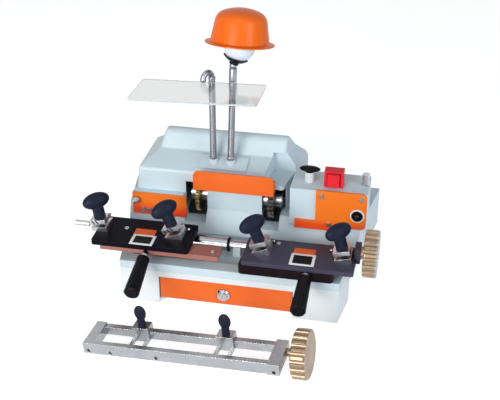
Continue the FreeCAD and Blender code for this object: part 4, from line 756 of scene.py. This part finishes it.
def ring(name, body, material, middle, axis, outer, inner, long):
    """A ring round an axis, with softened rims."""
    turn = Vector(axis).to_track_quat("Z", "Y").to_euler()
    bpy.ops.mesh.primitive_cylinder_add(vertices=RING_SIDES, radius=outer, depth=long)
    piece = begin(material)
    pick(lambda at, normal: abs(normal.z) > 0.9)
    bpy.ops.mesh.inset(thickness=outer - inner)
    bpy.ops.mesh.delete(type="FACE")
    bpy.ops.mesh.select_mode(type="EDGE")
    bpy.ops.mesh.select_non_manifold()
    bpy.ops.mesh.bridge_edge_loops()
    bpy.ops.mesh.select_all(action="SELECT")
    bpy.ops.mesh.normals_make_consistent(inside=False)
    soften(RING_RIM)
    piece.rotation_euler = turn
    piece.location = middle
    settle(name, body)


shaft_low, shaft_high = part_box("guide_shaft")
sleeve_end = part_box("left_sleeve")[1].x
shaft_middle = (shaft_low + shaft_high) / 2
COLLAR_GAP, COLLAR_LONG, COLLAR_RADIUS, COLLAR_BORE = 0.6 * MM, 3.0 * MM, 12 * MM, 8.05 * MM
collar_at = Vector((sleeve_end + COLLAR_GAP + COLLAR_LONG / 2, shaft_middle.y, shaft_middle.z))
ring("stop_collar", "machine", phenolic, collar_at, (1, 0, 0), COLLAR_RADIUS, COLLAR_BORE,
     COLLAR_LONG)
pin_low, pin_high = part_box("right_tracer")
panel_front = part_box("front_panels")[0].y
BUSH_LONG, BUSH_RADIUS, BUSH_BORE = 2.4 * MM, 11.6 * MM, 9.2 * MM
bush_at = Vector(((pin_low.x + pin_high.x) / 2, panel_front - BUSH_LONG / 2, (pin_low.z + pin_high.z) / 2))
ring("tracer_bush", "machine", white_nylon, bush_at, (0, 1, 0), BUSH_RADIUS, BUSH_BORE, BUSH_LONG)
FERRULE_LONG, FERRULE_RADIUS, FERRULE_BORE = 4.2 * MM, 7.4 * MM, 4.1 * MM
# each grip's side, its place across and up in mm, its dip in degrees and how far out its ferrule sits in mm
GRIPS = (("left", -130, 97, 15, 9.4), ("right", 124, 90, 8, 2.9))
for side, x, z, dip, reach in GRIPS:
    foot = Vector((x * MM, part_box(side + "_arm")[0].y, z * MM))
    lean = math.radians(dip)
    along = Vector((0, -math.cos(lean), -math.sin(lean)))
    ring(side + "_ferrule", side + "_carriage", ground_steel, foot + along * reach * MM, along,
         FERRULE_RADIUS, FERRULE_BORE, FERRULE_LONG)
print("four rings, all with a bore")

# %% [markdown]
# The tracer ends in a black button, as wide as a fingertip, that sits proud of its white bush. Its front
# face is inset and pushed in a little, which leaves a rim that is then rounded.

# %% The tracer's button
BUTTON_RADIUS, BUTTON_LONG, BUTTON_PROUD = 8.6 * MM, 3.8 * MM, 0.5 * MM
BUTTON_RIM, BUTTON_DISH, BUTTON_ROUND = 2.6 * MM, 0.8 * MM, 1.0 * MM
button_at = Vector((bush_at.x, pin_low.y + BUTTON_LONG / 2 - BUTTON_PROUD, bush_at.z))
bpy.ops.mesh.primitive_cylinder_add(vertices=RING_SIDES, radius=BUTTON_RADIUS, depth=BUTTON_LONG,
                                    location=button_at, rotation=(math.pi / 2, 0, 0))
begin(phenolic)
pick(lambda at, normal: normal.y < -0.9)
bpy.ops.mesh.inset(thickness=BUTTON_RIM)
bpy.ops.mesh.extrude_region_move(TRANSFORM_OT_translate={"value": (0, BUTTON_DISH, 0)})
soften(BUTTON_ROUND, 3)
settle("tracer_button", "right_tracer")
print("the button is", 2 * BUTTON_RADIUS / MM, "mm wide")

# %% [markdown]
# Each swing plate carries two small stickers: an orange one, and a dark one with a white margin. They
# are left blank. A thin block is inset on its top face, and the inner face takes the second colour.

# %% Blank stickers
white_print = moulded("white_print", "F2F2EE", "FFFFFF", 0.45)
dark_print = moulded("dark_print", "060609", "15151A", 0.50)
orange_print = moulded("orange_print", "E2622C", "F08A5A", 0.42)
STICKER_THICK, STICKER_RIM, THIN_MARGIN, WIDE_MARGIN = 0.5 * MM, 0.15 * MM, 0.8 * MM, 4.5 * MM


def sticker(name, body, slot, low, high, top, margin, rim, field):
    """A thin sheet on a plate's top, with a margin round its field."""
    middle = ((low[0] + high[0]) / 2 * MM, (low[1] + high[1]) / 2 * MM, top + STICKER_THICK / 2)
    size = ((high[0] - low[0]) * MM, (high[1] - low[1]) * MM, STICKER_THICK)
    bpy.ops.mesh.primitive_cube_add(size=1, location=middle, scale=size)
    piece = begin(rim, field)
    pick(lambda at, normal: normal.z > 0.9)
    bpy.ops.mesh.inset(thickness=margin)
    piece.active_material_index = 1
    bpy.ops.object.material_slot_assign()
    soften(STICKER_RIM)
    settle(name, body)


left_top, right_top, arm_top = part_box("left_plate")[1].z, 102.5 * MM, 102 * MM
# each plate's top, and the near and far corners of its orange and of its dark sticker in mm
STICKERS = {
    "left": (left_top, ((-157.5, -103.2), (-123.5, -86.5)), ((-157, -132.8), (-119.5, -103.4))),
    "right": (right_top, ((98.5, -98), (132.5, -82.5)), ((96, -130.5), (134.5, -98.2))),
}
for side, (top, orange, dark) in STICKERS.items():
    carriage = side + "_carriage"
    sticker(side + "_orange_sticker", carriage, "orange_paint", *orange, top, THIN_MARGIN,
            orange_print, orange_print)
    sticker(side + "_dark_sticker", carriage, None, *dark, top, WIDE_MARGIN, white_print, dark_print)
print("four blank stickers")

# %% [markdown]
# Cap screws hold the plates to their arms, and short bright pins beside each vise stop the key. A screw
# head is a cylinder whose top is inset and pushed down for the socket. A pin is a cylinder whose rim is
# rounded so far that it becomes a dome. Each is modelled once and then copied, with its own mesh.

# %% Screws and key stops
SCREW_RADIUS, SCREW_TALL, SCREW_RIM = 3.6 * MM, 2.8 * MM, 0.3 * MM
SOCKET_SHARE, SOCKET_DEEP = 0.42, 1.8 * MM
PIN_RADIUS, PIN_TALL, PIN_DOME, TRIM_SIDES = 2.5 * MM, 5.0 * MM, 0.8, 36


def screw_head():
    """A socket head that stands on the origin."""
    bpy.ops.mesh.primitive_cylinder_add(vertices=TRIM_SIDES, radius=SCREW_RADIUS, depth=SCREW_TALL,
                                        location=(0, 0, SCREW_TALL / 2))
    begin(ground_steel)
    pick(lambda at, normal: normal.z > 0.9)
    bpy.ops.mesh.inset(thickness=SCREW_RADIUS * SOCKET_SHARE)
    bpy.ops.mesh.extrude_region_move(TRANSFORM_OT_translate={"value": (0, 0, -SOCKET_DEEP)})
    soften(SCREW_RIM)


def key_stop():
    """A domed pin that stands on the origin."""
    bpy.ops.mesh.primitive_cylinder_add(vertices=TRIM_SIDES, radius=PIN_RADIUS, depth=PIN_TALL,
                                        location=(0, 0, PIN_TALL / 2))
    begin(chrome)
    soften(PIN_RADIUS * PIN_DOME, 6)


def spread(model, name, body, slot, spots):
    """Models a piece once and stands a copy, with its own mesh, on each spot."""
    model()
    first = bpy.context.object
    for number, spot in enumerate(spots[1:], start=2):
        bpy.ops.object.select_all(action="DESELECT")
        first.select_set(True)
        bpy.context.view_layer.objects.active = first
        bpy.ops.object.duplicate(linked=False)
        bpy.context.object.location = spot
        settle("%s_%d" % (name, number), body)
    first.select_set(True)
    bpy.context.view_layer.objects.active = first
    first.location = spots[0]
    settle(name + "_1", body)


spread(screw_head, "left_plate_screw", "left_carriage", "steel",
       [Vector((-172.4 * MM, -91.2 * MM, left_top)), Vector((-25 * MM, -120 * MM, arm_top))])
spread(screw_head, "right_plate_screw", "right_carriage", "steel",
       [Vector((72 * MM, -77 * MM, right_top))])
spread(key_stop, "left_key_stop", "left_carriage", "chrome",
       [Vector((-205 * MM, -70 * MM, left_top)), Vector((-73.5 * MM, -77.5 * MM, left_top))])
spread(key_stop, "right_key_stop", "right_carriage", "chrome",
       [Vector((63.5 * MM, -74 * MM, right_top)), Vector((156 * MM, -82.9 * MM, right_top))])
print("three screws and four key stops")

# %% [markdown]
# The left jaws show dark lines across their front faces, where grooves hold the key's shoulder. Each is a
# narrow bar that lies on the face, turned by its own lean and by the tilt of its vise.

# %% Lines on the left jaws
LINE_WIDE, LINE_THICK, LINE_LONG, LINE_RIM = 2.0 * MM, 0.3 * MM, 7.2 * MM, 0.1 * MM
LINE_LEAN, OUTER_TILT, INNER_TILT = math.radians(31), math.radians(9), math.radians(22)


def jaw_line(name, body, jaw, tilt, step):
    """A dark line across a jaw's front face, at a step from its middle."""
    low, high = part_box(jaw)
    middle = (low + high) / 2 + Vector((math.cos(tilt), 0, math.sin(tilt))) * step
    middle.y = low.y - LINE_THICK / 2
    bpy.ops.mesh.primitive_cube_add(size=1, location=middle, rotation=(0, -LINE_LEAN - tilt, 0),
                                    scale=(LINE_WIDE, LINE_THICK, LINE_LONG))
    begin(phenolic)
    soften(LINE_RIM)
    settle(name, body)


for number, step in enumerate((-7 * MM, -1 * MM), start=1):
    jaw_line("left_outer_line_%d" % number, "left_outer_jaw", "left_jaw_outer", OUTER_TILT, step)
for number, step in enumerate((-8 * MM, -2 * MM, 4 * MM), start=1):
    jaw_line("left_inner_line_%d" % number, "left_inner_jaw", "left_jaw_inner", INNER_TILT, step)
print("five lines on the left jaws")

# %% [markdown]
# The drawer's knob is a cam lock: a bright flange with a plug in the middle and a keyway across it. The
# keyway is a real slot, cut by a Boolean with a thin block.

# %% The drawer's lock
knob_low, knob_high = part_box("drawer_knob")
lock_at = Vector(((knob_low.x + knob_high.x) / 2, knob_low.y, (knob_low.z + knob_high.z) / 2))
PLUG_RADIUS, PLUG_PROUD, KEYWAY_WIDE, KEYWAY_TALL = 6.2 * MM, 1.6 * MM, 1.5 * MM, 7.5 * MM
PLUG_RIM, PLUG_DISH, PLUG_ROUND = 1.4 * MM, 0.5 * MM, 0.25 * MM
bpy.ops.mesh.primitive_cube_add(size=1, location=lock_at, scale=(KEYWAY_WIDE, 4 * PLUG_PROUD, KEYWAY_TALL))
keyway = begin(dark_steel_and_gap_shade)
bpy.ops.object.mode_set(mode="OBJECT")
bpy.ops.mesh.primitive_cylinder_add(vertices=RING_SIDES, radius=PLUG_RADIUS, depth=PLUG_PROUD,
                                    location=lock_at - Vector((0, PLUG_PROUD / 2, 0)),
                                    rotation=(math.pi / 2, 0, 0))
plug = begin(ground_steel)
pick(lambda at, normal: normal.y < -0.9)
bpy.ops.mesh.inset(thickness=PLUG_RIM)
bpy.ops.mesh.extrude_region_move(TRANSFORM_OT_translate={"value": (0, PLUG_DISH, 0)})
soften(PLUG_ROUND)
slot_cut = plug.modifiers.new("keyway", "BOOLEAN")
slot_cut.operation = "DIFFERENCE"
slot_cut.object = keyway
bpy.ops.object.modifier_apply(modifier=slot_cut.name)
bpy.data.objects.remove(keyway)
settle("lock_plug", "drawer")
print("the lock's plug stands", PLUG_PROUD / MM, "mm proud")
